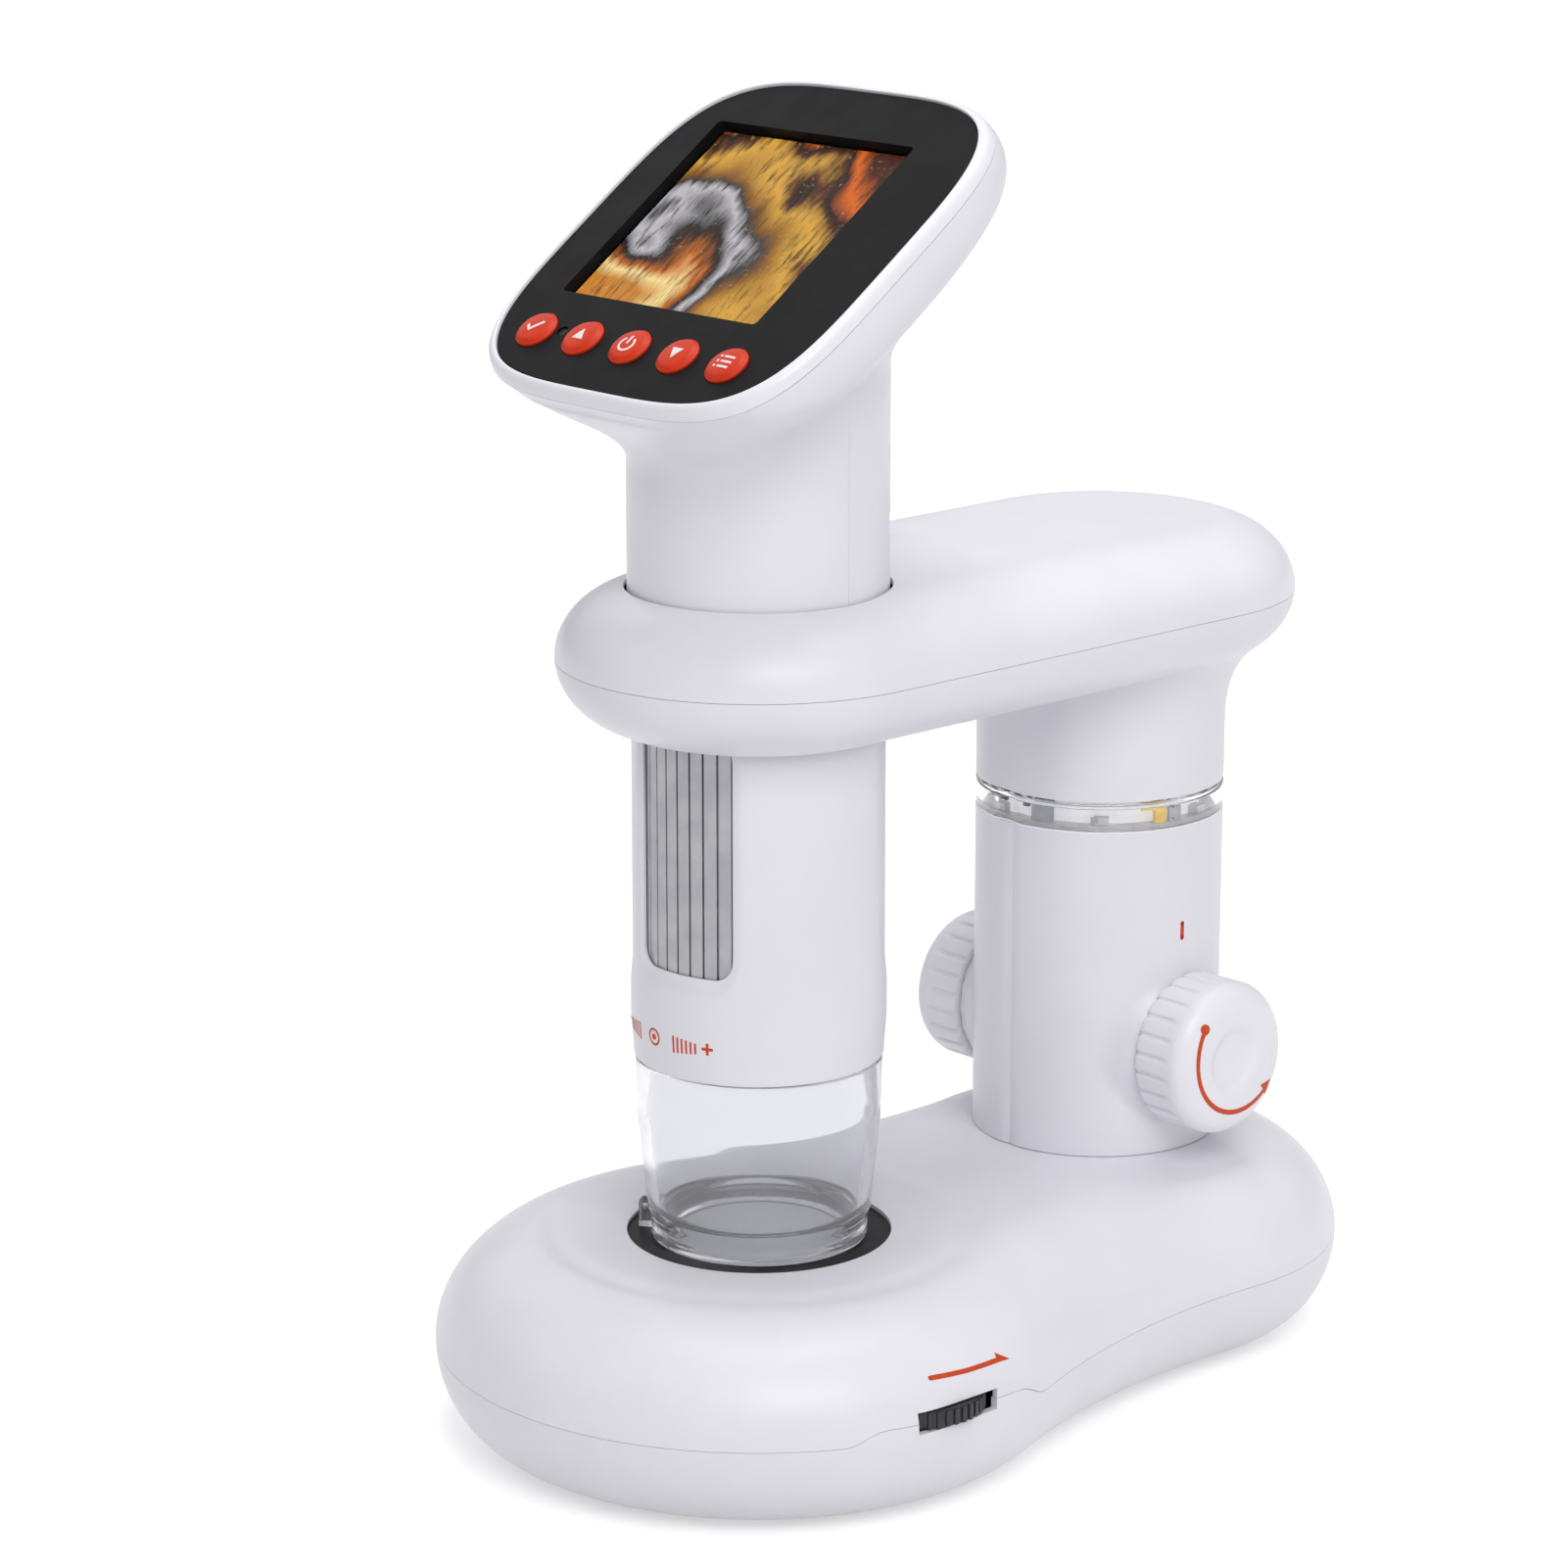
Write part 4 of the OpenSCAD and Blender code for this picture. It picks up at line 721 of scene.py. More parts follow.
def base_skin(name, holes, rows, lower):
    """One shell of the base, walled, from its parting line over its rounded edge."""
    rays = base_rays(holes)
    points = []
    for point, way, cap in rays:
        length = ray_length(point, way, cap, holes)
        gap = seam_rise(point) + (-SEAM / 2 if lower else SEAM / 2)
        start = math.asin(gap / (BASE_TOP - BASE_SEAM))
        if lower:
            over = (BASE_TOP_ROUND, BASE_TOP - BASE_SEAM)
            profile = edge_rows(length, -start, BASE_BOTTOM_ROUND, BASE_SEAM - BASE_Z, rows, over)
        else:
            profile = edge_rows(length, start, BASE_TOP_ROUND, BASE_TOP - BASE_SEAM, rows)
        for inset, rise in profile:
            x, y = point + way * inset
            z = BASE_SEAM - rise if lower else base_roof(x, y, BASE_SEAM + rise)
            points.append((pressed_flat(x, y), y, z))
    piece = make(name, points, grid_faces(len(rays), rows + 1, True))
    return thicken(piece, BASE_WALL)


def slot_cutter():
    """The slot that the thumbwheel stands out of."""
    half = DIMMER_T / 2 + 0.25
    low = (DIMMER_X, DIMMER_Y - SLOT_L / 2, DIMMER_Z - half)
    return block("slot", low, (BASE_FRONT_R + 5, DIMMER_Y + SLOT_L / 2, DIMMER_Z + half))


def upright(x, y, z):
    return (x, y, z)


def underside_cutters():
    """The battery door's opening with its screw ear, the foot pockets and the screw holes."""
    low = BASE_Z - 1
    ear_top = BASE_Z + 1.25
    gap = 0.1
    door = round_box(DOOR_HIGH[0] * 2 + 2 * gap, DOOR_HIGH[1] - DOOR_SCREW_Y - 2.9 + gap, 0.1, 1)
    middle = (DOOR_HIGH[1] + gap + DOOR_SCREW_Y + 3) / 2
    door = [(x, y + middle) for x, y in door]
    tab_end = (DOOR_EAR_R, DOOR_SCREW_Y + 4, ear_top)
    tab = block("door_tab", (-DOOR_EAR_R, DOOR_SCREW_Y, low), tab_end)
    ear = ring_outline(0, DOOR_SCREW_Y, DOOR_EAR_R)
    out = [prism("door_opening", door, low, BASE_Z + 4, upright), tab]
    out.append(prism("door_ear", ear, low, ear_top, upright))
    for side in (-1, 1):
        for x, y in FEET:
            pocket = ring_outline(side * x, y, FOOT_R)
            out.append(prism("foot_pocket", pocket, low, BASE_Z + FOOT_POCKET, upright))
        for x, y in BASE_SCREWS:
            hole = ring_outline(side * x, y, BASE_SCREW_HOLE)
            out.append(prism("screw_hole", hole, low, BASE_Z + 5, upright))
    return out


def build_base():
    holes = [(SCOPE, STAGE_R + 0.1), (COLUMN, COLUMN_R - 1.9)]
    upper = cut(base_skin("base_upper_skin", holes, 34, False), slot_cutter())
    finish_piece(upper, "stand", WHITE, ["base_upper_shell"])
    lower = cut(base_skin("base_lower_skin", [], 30, True), slot_cutter(), *underside_cutters())
    finish_piece(lower, "stand", WHITE, ["base_lower_shell"])


build_base()

# ---------- arm ----------


def arm_rays(stops):
    """Points round the arm's outline, each with its inward way and its reach."""
    rays = []
    for angle in spread([-math.pi, 0], FINE / ARM_R)[:-1]:
        rays.append((SCOPE + ARM_R * turn(angle), -turn(angle), ARM_R))
    side = spread(sorted([SCOPE_Y, COLUMN_Y, *stops]), FINE)
    for y in side[:-1]:
        rays.append((np.array([ARM_R, y]), np.array([-1.0, 0]), ARM_R))
    for angle in spread([0, math.pi], FINE / ARM_R)[:-1]:
        rays.append((COLUMN + ARM_R * turn(angle), -turn(angle), ARM_R))
    for y in side[::-1][:-1]:
        rays.append((np.array([-ARM_R, y]), np.array([1.0, 0]), ARM_R))
    return rays


def arm_rows(length, start, rows):
    return edge_rows(length, start, ARM_ROUND, ARM_HALF, rows)


def arm_under(x, y):
    """Height of the arm's underside over a point."""
    spine = min(max(y, SCOPE_Y), COLUMN_Y)
    inset = max(ARM_R - math.hypot(x, y - spine), 0)
    bend = 1 - min(inset / ARM_ROUND, 1)
    return ARM_MID - ARM_HALF * math.sqrt(max(1 - bend * bend, 0))


FLARE_R = 22.5
FLARE_LEAST_R = 18.9
FLUTE_AT = math.radians(-94)
FLUTE_HALF = math.radians(10)
FLUTE_DEPTH = 0.55
FLUTE_RUN = 4


def flute(angle):
    """Depth of the upright flute at the column's front."""
    away = abs((angle - FLUTE_AT + math.pi) % (2 * math.pi) - math.pi)
    return FLUTE_DEPTH * (1 - smooth_step(0, 1, away / FLUTE_HALF)) if away < FLUTE_HALF else 0


def socket_rows(angle, count):
    """Radius and height from the arm's underside down the flare to the socket's rim."""
    fullness = smooth_step(-0.95, 0.3, math.sin(angle))
    outer = FLARE_LEAST_R + (FLARE_R - FLARE_LEAST_R) * fullness
    way = turn(angle)
    start = arm_under(*(COLUMN + outer * way))
    near = 0.2
    slope = (start - arm_under(*(COLUMN + (outer - near) * way))) / near
    low = ARM_Z - 1.8 - 7.6 * fullness
    out = []
    for k in range(4):
        r = FLARE_R + (outer - FLARE_R) * k / 4
        out.append((r, arm_under(*(COLUMN + r * way))))
    a = np.array([outer, start])
    d = np.array([COLUMN_R, low])
    pull = np.linalg.norm(a - d)
    ta = np.array([-1, -slope]) / math.hypot(1, slope) * pull * 1.1
    td = np.array([0, -1]) * pull * 1.2
    for k in range(count + 1):
        t = k / count
        h = (2 * t**3 - 3 * t * t + 1, t**3 - 2 * t * t + t, 3 * t * t - 2 * t**3, t**3 - t * t)
        out.append(tuple(h[0] * a + h[1] * ta + h[2] * d + h[3] * td))
    straight = 5
    for k in range(1, straight + 1):
        out.append((COLUMN_R, low + (SOCKET_Z - low) * k / straight))
    return out


def build_arm():
    """The arm's upper shell, and its lower shell with the socket over the light ring."""
    holes = [(SCOPE, HOLE_R)]
    start = math.asin((ARM_SEAM - ARM_MID) / (ARM_TOP - ARM_MID))
    lip = SEAM / 2 / (ARM_TOP - ARM_MID)
    rows = 30
    rays = arm_rays([SCOPE_Y + HOLE_R])
    points = []
    for point, way, cap in rays:
        for inset, rise in arm_rows(ray_length(point, way, cap, holes), start + lip, rows):
            points.append((*(point + way * inset), ARM_MID + rise))
    upper = make("arm_upper_skin", points, grid_faces(len(rays), rows + 1, True))
    finish_piece(thicken(upper, ARM_WALL), "arm", WHITE, ["arm_upper_shell"])

    holes.append((COLUMN, FLARE_R))
    rays = arm_rays([SCOPE_Y + HOLE_R, COLUMN_Y - FLARE_R])
    points, socket = [], []
    for point, way, cap in rays:
        length = ray_length(point, way, cap, holes)
        for inset, rise in arm_rows(length, -start + lip, rows):
            points.append((*(point + way * inset), ARM_MID - rise))
        end = point + way * length - COLUMN
        if abs(math.hypot(*end) - FLARE_R) < 0.01:
            socket.append(math.atan2(end[1], end[0]))
    faces = grid_faces(len(rays), rows + 1, True)
    socket = sorted(set(round(angle, 6) for angle in socket))
    collar = []
    for angle in socket:
        way = turn(angle)
        column = socket_rows(angle, 14)
        for r, z in column:
            if r < COLUMN_R + FLUTE_RUN:
                r -= flute(angle) * smooth_step(COLUMN_R + FLUTE_RUN, COLUMN_R, r)
            collar.append((*(COLUMN + r * way), z))
    collar_faces = grid_faces(len(socket), len(column), True)
    points, faces = joined([(points, faces), (collar, collar_faces)])
    lower = make("arm_lower_skin", points, faces, 0.01)
    finish_piece(thicken(lower, ARM_WALL), "arm", WHITE, ["arm_lower_shell"])


build_arm()

# ---------- column, ring and knobs ----------

FAIRING_R = KNOB_R + 4.6
FAIRING_END = KNOB_R - 0.7
FAIRING_PROUD = 0.12
COLUMN_WALL = 2


def column_point(angle, z):
    """The column's skin, with the flute at the front and a fairing behind each knob."""
    r = COLUMN_R - flute(angle)
    x, y = r * turn(angle)
    away = math.hypot(y, z - SHAFT_Z)
    if away < FAIRING_R + 1.5:
        boss = COLUMN_R * min((FAIRING_R - away) / (FAIRING_R - FAIRING_END), 1)
        x = math.copysign(smooth_max(abs(x), boss, 2.2), x)
        x = max(-COLUMN_R - FAIRING_PROUD, min(COLUMN_R + FAIRING_PROUD, x))
    return x, COLUMN_Y + y, z


def build_column():
    fairing_low, fairing_high = SHAFT_Z - FAIRING_R + 2, SHAFT_Z + FAIRING_R
    foot = COLUMN_Z + SEAM
    heights = spread([foot, COLUMN_Z + 0.5, fairing_low, fairing_high, COLUMN_TOP], 0.9)
    inset = COLUMN_SEAM / 2 / COLUMN_R
    angles = spread([-math.pi / 2 + inset, math.pi / 2 - inset], 0.045)
    for side, node in ((1, "column_shell_right"), (-1, "column_shell_left")):
        points = []
        for angle in angles:
            for z in heights:
                x, y, z1 = column_point(angle, z)
                points.append((side * x, y, z1))
        skin = make(node + "_skin", points, grid_faces(len(angles), len(heights)))
        finish_piece(thicken(skin, COLUMN_WALL), "stand", WHITE, [node])


def fluted(r, z, angle):
    return r - flute(angle) if r > COLUMN_R - COLUMN_WALL else r


def build_ring():
    """The clear ring, and the pale sleeve and floor behind it, which glow with painted light."""
    inner = COLUMN_R - 1.3
    bore = corners("slide_post")[1][0] + 0.3
    foot, roof = COLUMN_TOP + 0.14, RING_TOP - 1
    profile = [
        (COLUMN_R, foot), (COLUMN_R, RING_TOP), (bore, RING_TOP),
        (bore, roof), (inner, roof), (inner, foot),
    ]
    ring = lathe("light_ring_clear", rounded(profile, 0.15, 3), COLUMN, 240, fluted)
    finish_piece(ring, "stand", CLEAR, ["light_ring"], 45)
    # The sleeve and floor take the reflector finish, whose emission is painted light.
    low, high = COLUMN_TOP + 0.02, RING_TOP - 0.02
    sleeve = [(bore - 0.2, low), (bore - 0.05, low), (bore - 0.05, high), (bore - 0.2, high)]
    finish_piece(lathe("ring_reflector", sleeve, COLUMN), "stand", REFLECTOR)
    rim, top = COLUMN_R - 0.12, COLUMN_TOP + 0.12
    floor = [(inner - 0.05, low), (rim, low), (rim, top), (inner - 0.05, top)]
    finish_piece(lathe("ring_floor", floor, COLUMN, 240, fluted), "stand", REFLECTOR)


def arc_block(first, last, low, high, depth):
    """A closed block inside the light ring, between two turns in degrees and two heights."""
    outer = COLUMN_R - 1.4
    angles = spread([math.radians(first), math.radians(last)], 0.03)
    points = []
    for angle in angles:
        way = turn(angle)
        for r, z in ((outer, low), (outer, high), (outer - depth, high), (outer - depth, low)):
            points.append((*(COLUMN + r * way), z))
    faces = grid_faces(len(angles), 4, False, True)
    end = len(points) - 4
    return points, faces + [(0, 1, 2, 3), (end, end + 1, end + 2, end + 3)]


def build_chips():
    """The small parts that show through the clear ring."""
    low, high = COLUMN_TOP + 0.86, RING_TOP - 1.05
    sets = {
        "ring_driver": (CHIP, [
            (-81, -70, low, high, 0.8), (-50.3, -46.8, low + 0.3, low + 1.1, 0.3),
        ]),
        "ring_lamp": (LAMP, [(-18, -12, low, high, 0.7), (-25, -18, high - 0.35, high, 0.4)]),
        "ring_diode": (GREY, [(-10, -3, low, high - 0.2, 0.6)]),
        "ring_joints": (DARK, [
            (-8.4, -7.4, high - 0.4, high - 0.1, 0.75), (-8.2, -7.4, low + 0.2, low + 0.5, 0.75),
            (-111, -98, high - 0.45, high, 0.5), (-86, -83, high - 0.5, high, 0.5),
        ]),
    }
    # The chip and lamp finishes glow with painted light.
    for name, (material, blocks) in sets.items():
        shape = joined(arc_block(*sizes) for sizes in blocks)
        finish_piece(make(name, *shape), "stand", material)


KNOB_GROOVES = 24
KNOB_GROOVE_DEPTH = 0.4
KNOB_SHOULDER_IN = 3.4
KNOB_SHOULDER_LONG = 2.7
KNOB_DIMPLE = [
    (5.6, 0.01), (5, 0.05), (4.6, 0.18), (4.2, 0.42), (3.8, 0.7), (3.3, 0.92),
    (2.6, 1.05), (1.6, 1.12), (0.8, 1.14),
]


def knob_groove(along, around):
    """Depth of the grooves in a knob's rim, which fade into its shoulder."""
    phase = (around * KNOB_GROOVES / (2 * math.pi)) % 1
    groove = 1 - smooth_step(0.07, 0.17, abs(phase - 0.5))
    fade = 1 - smooth_step(4.4, 6.4, along)
    return KNOB_GROOVE_DEPTH * groove * fade


def build_knob(name, side):
    face = KNOB_END - KNOB_X
    rim = face - KNOB_SHOULDER_LONG
    rows = [(0.6, 0), (0.2, 0.12)] + [(0, s) for s in spread([0.5, rim], 0.45)]
    bends = 10
    for k in range(1, bends + 1):
        a = math.pi / 2 * k / bends
        out = rim + KNOB_SHOULDER_LONG * math.sin(a)
        rows.append((KNOB_SHOULDER_IN * (1 - math.cos(a)), out))
    rows += [(KNOB_R - r, face - deep) for r, deep in KNOB_DIMPLE]
    steps = KNOB_GROOVES * 14
    points = []
    for around in round_turns(steps):
        way = turn(around)
        points.append((side * KNOB_X, COLUMN_Y, SHAFT_Z))
        for inset, along in rows:
            r = KNOB_R - inset - knob_groove(along, around)
            points.append((side * (KNOB_X + along), COLUMN_Y + r * way[0], SHAFT_Z + r * way[1]))
        points.append((side * (KNOB_X + face - 1.15), COLUMN_Y, SHAFT_Z))
    piece = make(name + "_cap", points, grid_faces(steps, len(rows) + 2, True))
    return finish_piece(piece, "drive", WHITE_HEAD, [name], 40)


build_column()
build_ring()
build_chips()
right_knob = build_knob("knob_right", 1)
left_knob = build_knob("knob_left", -1)

# ---------- head ----------


NECK_SLANT = math.radians(26.5)
NECK_ROWS = 5
CASING_WALL = 1.6


def side_draft(depth):
    """How far the head's side lies inside its widest outline, at a depth under the frame's edge."""
    return 0.86 * max(1 - (depth - 0.7) / 4.3, 0)


def head_section(angle):
    """Corner points of the casing from under the frame to the neck, at one direction."""
    out = []
    way = turn(angle)
    lower = smooth_step(0.21, 1, -way[1])
    top = FRAME_SIDE + SEAM / 2
    bends = (
        (side_draft(top), top, PANEL_POWER),
        (1.3 * lower, 5.5 - 1.9 * lower, PANEL_POWER),
        (3 - 2.1 * lower, 10.1 - 5.5 * lower, 3.4),
    )
    for inset, depth, power in bends:
        x, y = squircle(FRAME_A - inset, FRAME_B - inset, angle, power)
        out.append(on_screen(x, y, -depth))
    neck = NECK_Z + math.tan(NECK_SLANT) * SCOPE_R * way[1]
    for drop in (-2.4, 5.8, 14):
        out.append(np.array([SCOPE_R * way[0], SCOPE_Y + SCOPE_R * way[1], neck - drop]))
    return out


def flowing(corner_points, steps):
    """A smooth line that starts and ends at the outer points and rounds the inner ones."""
    p = [np.array(c, float) for c in corner_points]
    knots = [p[0]] + [(a + b) / 2 for a, b in zip(p[1:-2], p[2:-1])] + [p[-1]]
    out = []
    for i in range(len(knots) - 1):
        a, b, c = knots[i], p[i + 1], knots[i + 1]
        for k in range(steps):
            t = k / steps
            out.append((1 - t) ** 2 * a + 2 * t * (1 - t) * b + t * t * c)
    out.append(knots[-1])
    return out


def neck_column(angle):
    """A line down the casing at one direction, from the frame to the barrel."""
    way = turn(angle)
    line = flowing(head_section(angle), 9)
    stops = [line[-1][2], ARM_TOP, BARREL_TOP + 0.05]
    for start, end in zip(stops, stops[1:]):
        for k in range(1, NECK_ROWS + 1):
            z = start + (end - start) * k / NECK_ROWS
            line.append(np.array([SCOPE_R * way[0], SCOPE_Y + SCOPE_R * way[1], z]))
    return line


def casing_cutters():
    """The charging port's window and the counterbores of the closing screws."""

    def port_place(x, y, deep):
        return on_screen(x, FRAME_B + deep, y - PORT_D)

    def screw_place(x, z, deep):
        return (x, CASING_SCREW_Y + deep, z)

    window = round_box(PORT_W, PORT_T, PORT_T / 2 - 0.01)
    out = [prism("port_window", window, -5, 5, port_place)]
    for side in (-1, 1):
        for z in CASING_SCREWS_Z:
            hole = ring_outline(side * CASING_SCREW_X, z, CASING_SCREW_HOLE, 32)
            out.append(prism("screw_bore", hole, -0.5, 18, screw_place))
    return out


def build_screw_sleeves():
    """The tubes inside the rear casing that the closing screws' heads sit in."""
    steps = 36
    bore, wall, start = CASING_SCREW_HOLE, CASING_SCREW_HOLE + 0.6, CASING_SCREW_Y - 0.1
    sleeves = []
    for side in (-1, 1):
        for z in CASING_SCREWS_Z:
            points = []
            for angle in round_turns(steps):
                way = turn(angle)
                for r, outer in ((wall, 0), (wall, 1), (bore, 1), (bore, 0)):
                    x = side * CASING_SCREW_X + r * way[0]
                    end = SCOPE_Y + math.sqrt((SCOPE_R - 0.4) ** 2 - x * x)
                    points.append((x, end if outer else start, z + r * way[1]))
            sleeves.append((points, grid_faces(steps, 4, True, True)))
    finish_piece(make("casing_screw_sleeves", *joined(sleeves)), "scope", WHITE)


def build_casing():
    """Both casing halves: one skin, parted at the scope's middle plane."""
    count = 128
    for front, node in ((True, "casing_front"), (False, "casing_rear")):
        first = math.pi if front else 0
        columns = [neck_column(first + math.pi * k / count) for k in range(count + 1)]
        half_gap = -CASING_SEAM / 2 if front else CASING_SEAM / 2
        for column in (columns[0], columns[-1]):
            for p in column:
                p[1] += half_gap * (1 - smooth_step(NECK_Z - 6, NECK_Z, p[2]))
        points = [p for column in columns for p in column]
        skin = make(node + "_skin", points, grid_faces(len(columns), len(columns[0])))
        thicken(skin, CASING_WALL)
        if not front:
            cut(skin, *casing_cutters())
        finish_piece(skin, "scope", WHITE, [node])


def screen_loft(name, rows, filled=False, steps=288):
    """A rounded-square piece of the screen, a ring or filled, from (inset, depth) rows."""
    points = []
    for angle in round_turns(steps):
        column = []
        for inset, depth in rows:
            x, y = squircle(FRAME_A - inset, FRAME_B - inset, angle)
            column.append(on_screen(x, y, -depth))
        if filled:
            column.insert(0, on_screen(0, 0, -rows[0][1]))
            column.append(on_screen(0, 0, -rows[-1][1]))
        points += column
    return make(name, points, grid_faces(steps, len(column), True, not filled))


def build_frame():
    inner = FRAME_A - PANEL_A - 0.06
    low = FRAME_SIDE - SEAM / 2
    rows = [(side_draft(d), d) for d in (low, 1.4, 1)]
    rows += [(0.92, 0.7), (1.02, 0.5), (1.22, 0.28), (1.48, 0.1), (1.72, 0.01), (inner - 0.12, 0)]
    rows += [(inner - 0.03, 0.05), (inner, 0.15), (inner, low)]
    finish_piece(screen_loft("screen_frame_rim", rows), "scope", WHITE_HEAD, ["screen_frame"], 50)


def build_panel():
    """The black panel, with openings for the display, the keys and the dark dot."""
    edge = FRAME_A - PANEL_A
    top, low = PANEL_SINK, PANEL_SINK + PANEL_T
    rows = [(edge, low), (edge, top + 0.25), (edge + 0.08, top + 0.07), (edge + 0.25, top)]
    panel = screen_loft("panel_black", rows, True)
    window = [(x + WINDOW_AT[0], y + WINDOW_AT[1]) for x, y in round_box(WINDOW_W, WINDOW_V, 0.7)]
    openings = [window]
    openings += [ring_outline(x, -KEY_DOWN, KEY_R + KEY_GAP, 64) for x in KEYS_X]
    openings.append(ring_outline(*DOT_AT, DOT_R, 32))
    under, over = -5, 2
    cutters = [prism("opening", outline, under, over, on_screen) for outline in openings]
    finish_piece(cut(panel, *cutters), "scope", BLACK, ["screen_panel"], 12)


KEYS = ["select", "up", "power", "down", "menu"]
KEY_NODES = ["button_select", "button_up", "button_power", "button_down_key", "button_menu"]


def key_top(r):
    """Height of a key's domed top over the frame's edge."""
    return KEY_PROUD + 0.06 - 0.24 * (r / KEY_R) ** 2 - 0.5 * smooth_step(0.74, 1.1, r / KEY_R)


def build_keys():
    """Each key: a domed cap, a collar that keeps it in, and a stem down to its switch."""
    radii = [0, 0.5, 1, 1.5, 1.9, 2.1, 2.3, 2.5, 2.65, 2.8, 2.9, KEY_R]
    collar, stem = KEY_R + 0.5, KEY_R / 2
    rows = [(r, key_top(r)) for r in radii]
    rows += [(KEY_R, -1.9), (collar, -1.9), (collar, -2.6), (stem, -2.6), (stem, -4), (0, -4)]
    steps = 72
    for x0, key, node in zip(KEYS_X, KEYS, KEY_NODES):
        points = []
        for angle in round_turns(steps):
            way = turn(angle)
            points += [on_screen(x0 + r * way[0], -KEY_DOWN + r * way[1], z) for r, z in rows]
        cap = make("key_" + key, points, grid_faces(steps, len(rows), True))
        finish_piece(cap, "key_" + key, KEY, [node], 50)


build_casing()
build_screw_sleeves()
build_frame()
build_panel()
build_keys()

# ---------- barrel, cup and focus wheel ----------

WINDOW_AZ = math.radians(8)
WINDOW_HALF = SCOPE_R * math.sin(math.radians(26.2))
WINDOW_Z = BARREL_Z + 14
WINDOW_H = 32
WINDOW_CORNER = 2.5
WINDOW_DISH = 1.6
WINDOW_DISH_DEPTH = 0.6
BARREL_WALL = 1.3
CUP_LUG_AT = math.radians(-142)


def barrel_skin_r(z):
    """Radius of the barrel: a little fuller below the focus window."""
    foot = 0.35 * (1 - smooth_step(BARREL_Z, BARREL_Z + 6, z))
    return SCOPE_R - 0.12 - foot - 0.3 * smooth_step(BARREL_Z + 9.5, BARREL_Z + 14, z)


def window_gap(angle, z):
    """Distance outside the focus window's outline, less than zero within it."""
    turned = angle - WINDOW_AZ + math.pi / 2
    across = abs(SCOPE_R * math.sin(turned)) if math.cos(turned) > 0 else 99
    dx = across - (WINDOW_HALF - WINDOW_CORNER)
    dz = 0.65 * (abs(z - WINDOW_Z - WINDOW_H / 2) - WINDOW_H / 2) + WINDOW_CORNER
    return math.hypot(max(dx, 0), max(dz, 0)) + min(max(dx, dz), 0) - WINDOW_CORNER


def barrel_radius(r, z, angle):
    """The barrel's outside, dished round the focus window."""
    if r < SCOPE_R - 0.35:
        return r
    near = 1 - min(max(window_gap(angle, z), 0) / WINDOW_DISH, 1)
    return r - (SCOPE_R - barrel_skin_r(z)) - WINDOW_DISH_DEPTH * smooth_step(0, 1, near)


def build_barrel():
    bore = SCOPE_R - BARREL_WALL
    stops = [BARREL_Z + 0.3, WINDOW_Z - 2, WINDOW_Z + WINDOW_H + 2, BARREL_TOP - 0.3]
    profile = [(SCOPE_R - 0.3, BARREL_Z), (SCOPE_R - 0.08, BARREL_Z + 0.08)]
    profile += [(SCOPE_R, z) for z in spread(stops, 0.55)]
    profile += [(SCOPE_R - 0.1, BARREL_TOP), (bore, BARREL_TOP), (bore, BARREL_Z)]
    tube = lathe("barrel_skin", profile, SCOPE, 300, barrel_radius)
    across, out = turn(WINDOW_AZ), turn(WINDOW_AZ - math.pi / 2)

    def place(x, z, deep):
        xy = SCOPE + across * x + out * deep
        return (*xy, WINDOW_Z + WINDOW_H / 2 + z)

    outline = round_box(2 * WINDOW_HALF, WINDOW_H, WINDOW_CORNER)
    cutter = prism("focus_window", outline, SCOPE_R - 6, SCOPE_R + 4, place)
    finish_piece(cut(tube, cutter), "scope", WHITE, ["barrel_shell"], 35)


def build_cup():
    """The clear cup under the barrel, with its foot ring and lug."""
    foot, low, top = 14.5, 14.9, 16.4
    sleeve = SCOPE_R - 1.4
    outside = [(foot, 0), (foot, 1.5), (foot - 0.35, 1.8), (foot - 0.35, 2.2), (low, 3.7)]
    mouth = [(top - 0.25, -9), (top, -4), (top, -0.1), (sleeve, -0.1), (sleeve, 6)]
    mouth += [(sleeve - 1.4, 6), (top - 1.6, -8)]
    inside = [(low - 1.4, 5), (low - 1.9, 4), (foot - 3, 3.4), (foot - 3.2, 3), (foot - 3.2, 0)]
    profile = [(r, CUP_Z + up) for r, up in outside]
    profile += [(r, BARREL_Z + up) for r, up in mouth]
    profile += [(r, CUP_Z + up) for r, up in inside]
    cup = lathe("spacer_cup_clear", rounded(profile, 0.5, 4), SCOPE, 200)
    finish_piece(cup, "scope", CUP, ["spacer_cup"], 50)
    along, across = turn(CUP_LUG_AT), turn(CUP_LUG_AT + math.pi / 2)

    def place(x, y, z):
        return (*(SCOPE + along * (foot + 0.75 + x) + across * y), CUP_Z + z)

    lug = prism("cup_lug", round_box(1.9, 2.8, 0.4), 0.05, 3.4, place)
    finish_piece(lug, "scope", CUP, (), 40)


build_barrel()
build_cup()


# ---------- parts set round an axis ----------


BAR_LENGTHS = ["Radius", "Across", "Deep", "Tall", "Corner"]
BAR_INPUTS = ["Count", "Turn", "Start", *BAR_LENGTHS, "Centre", "Material"]


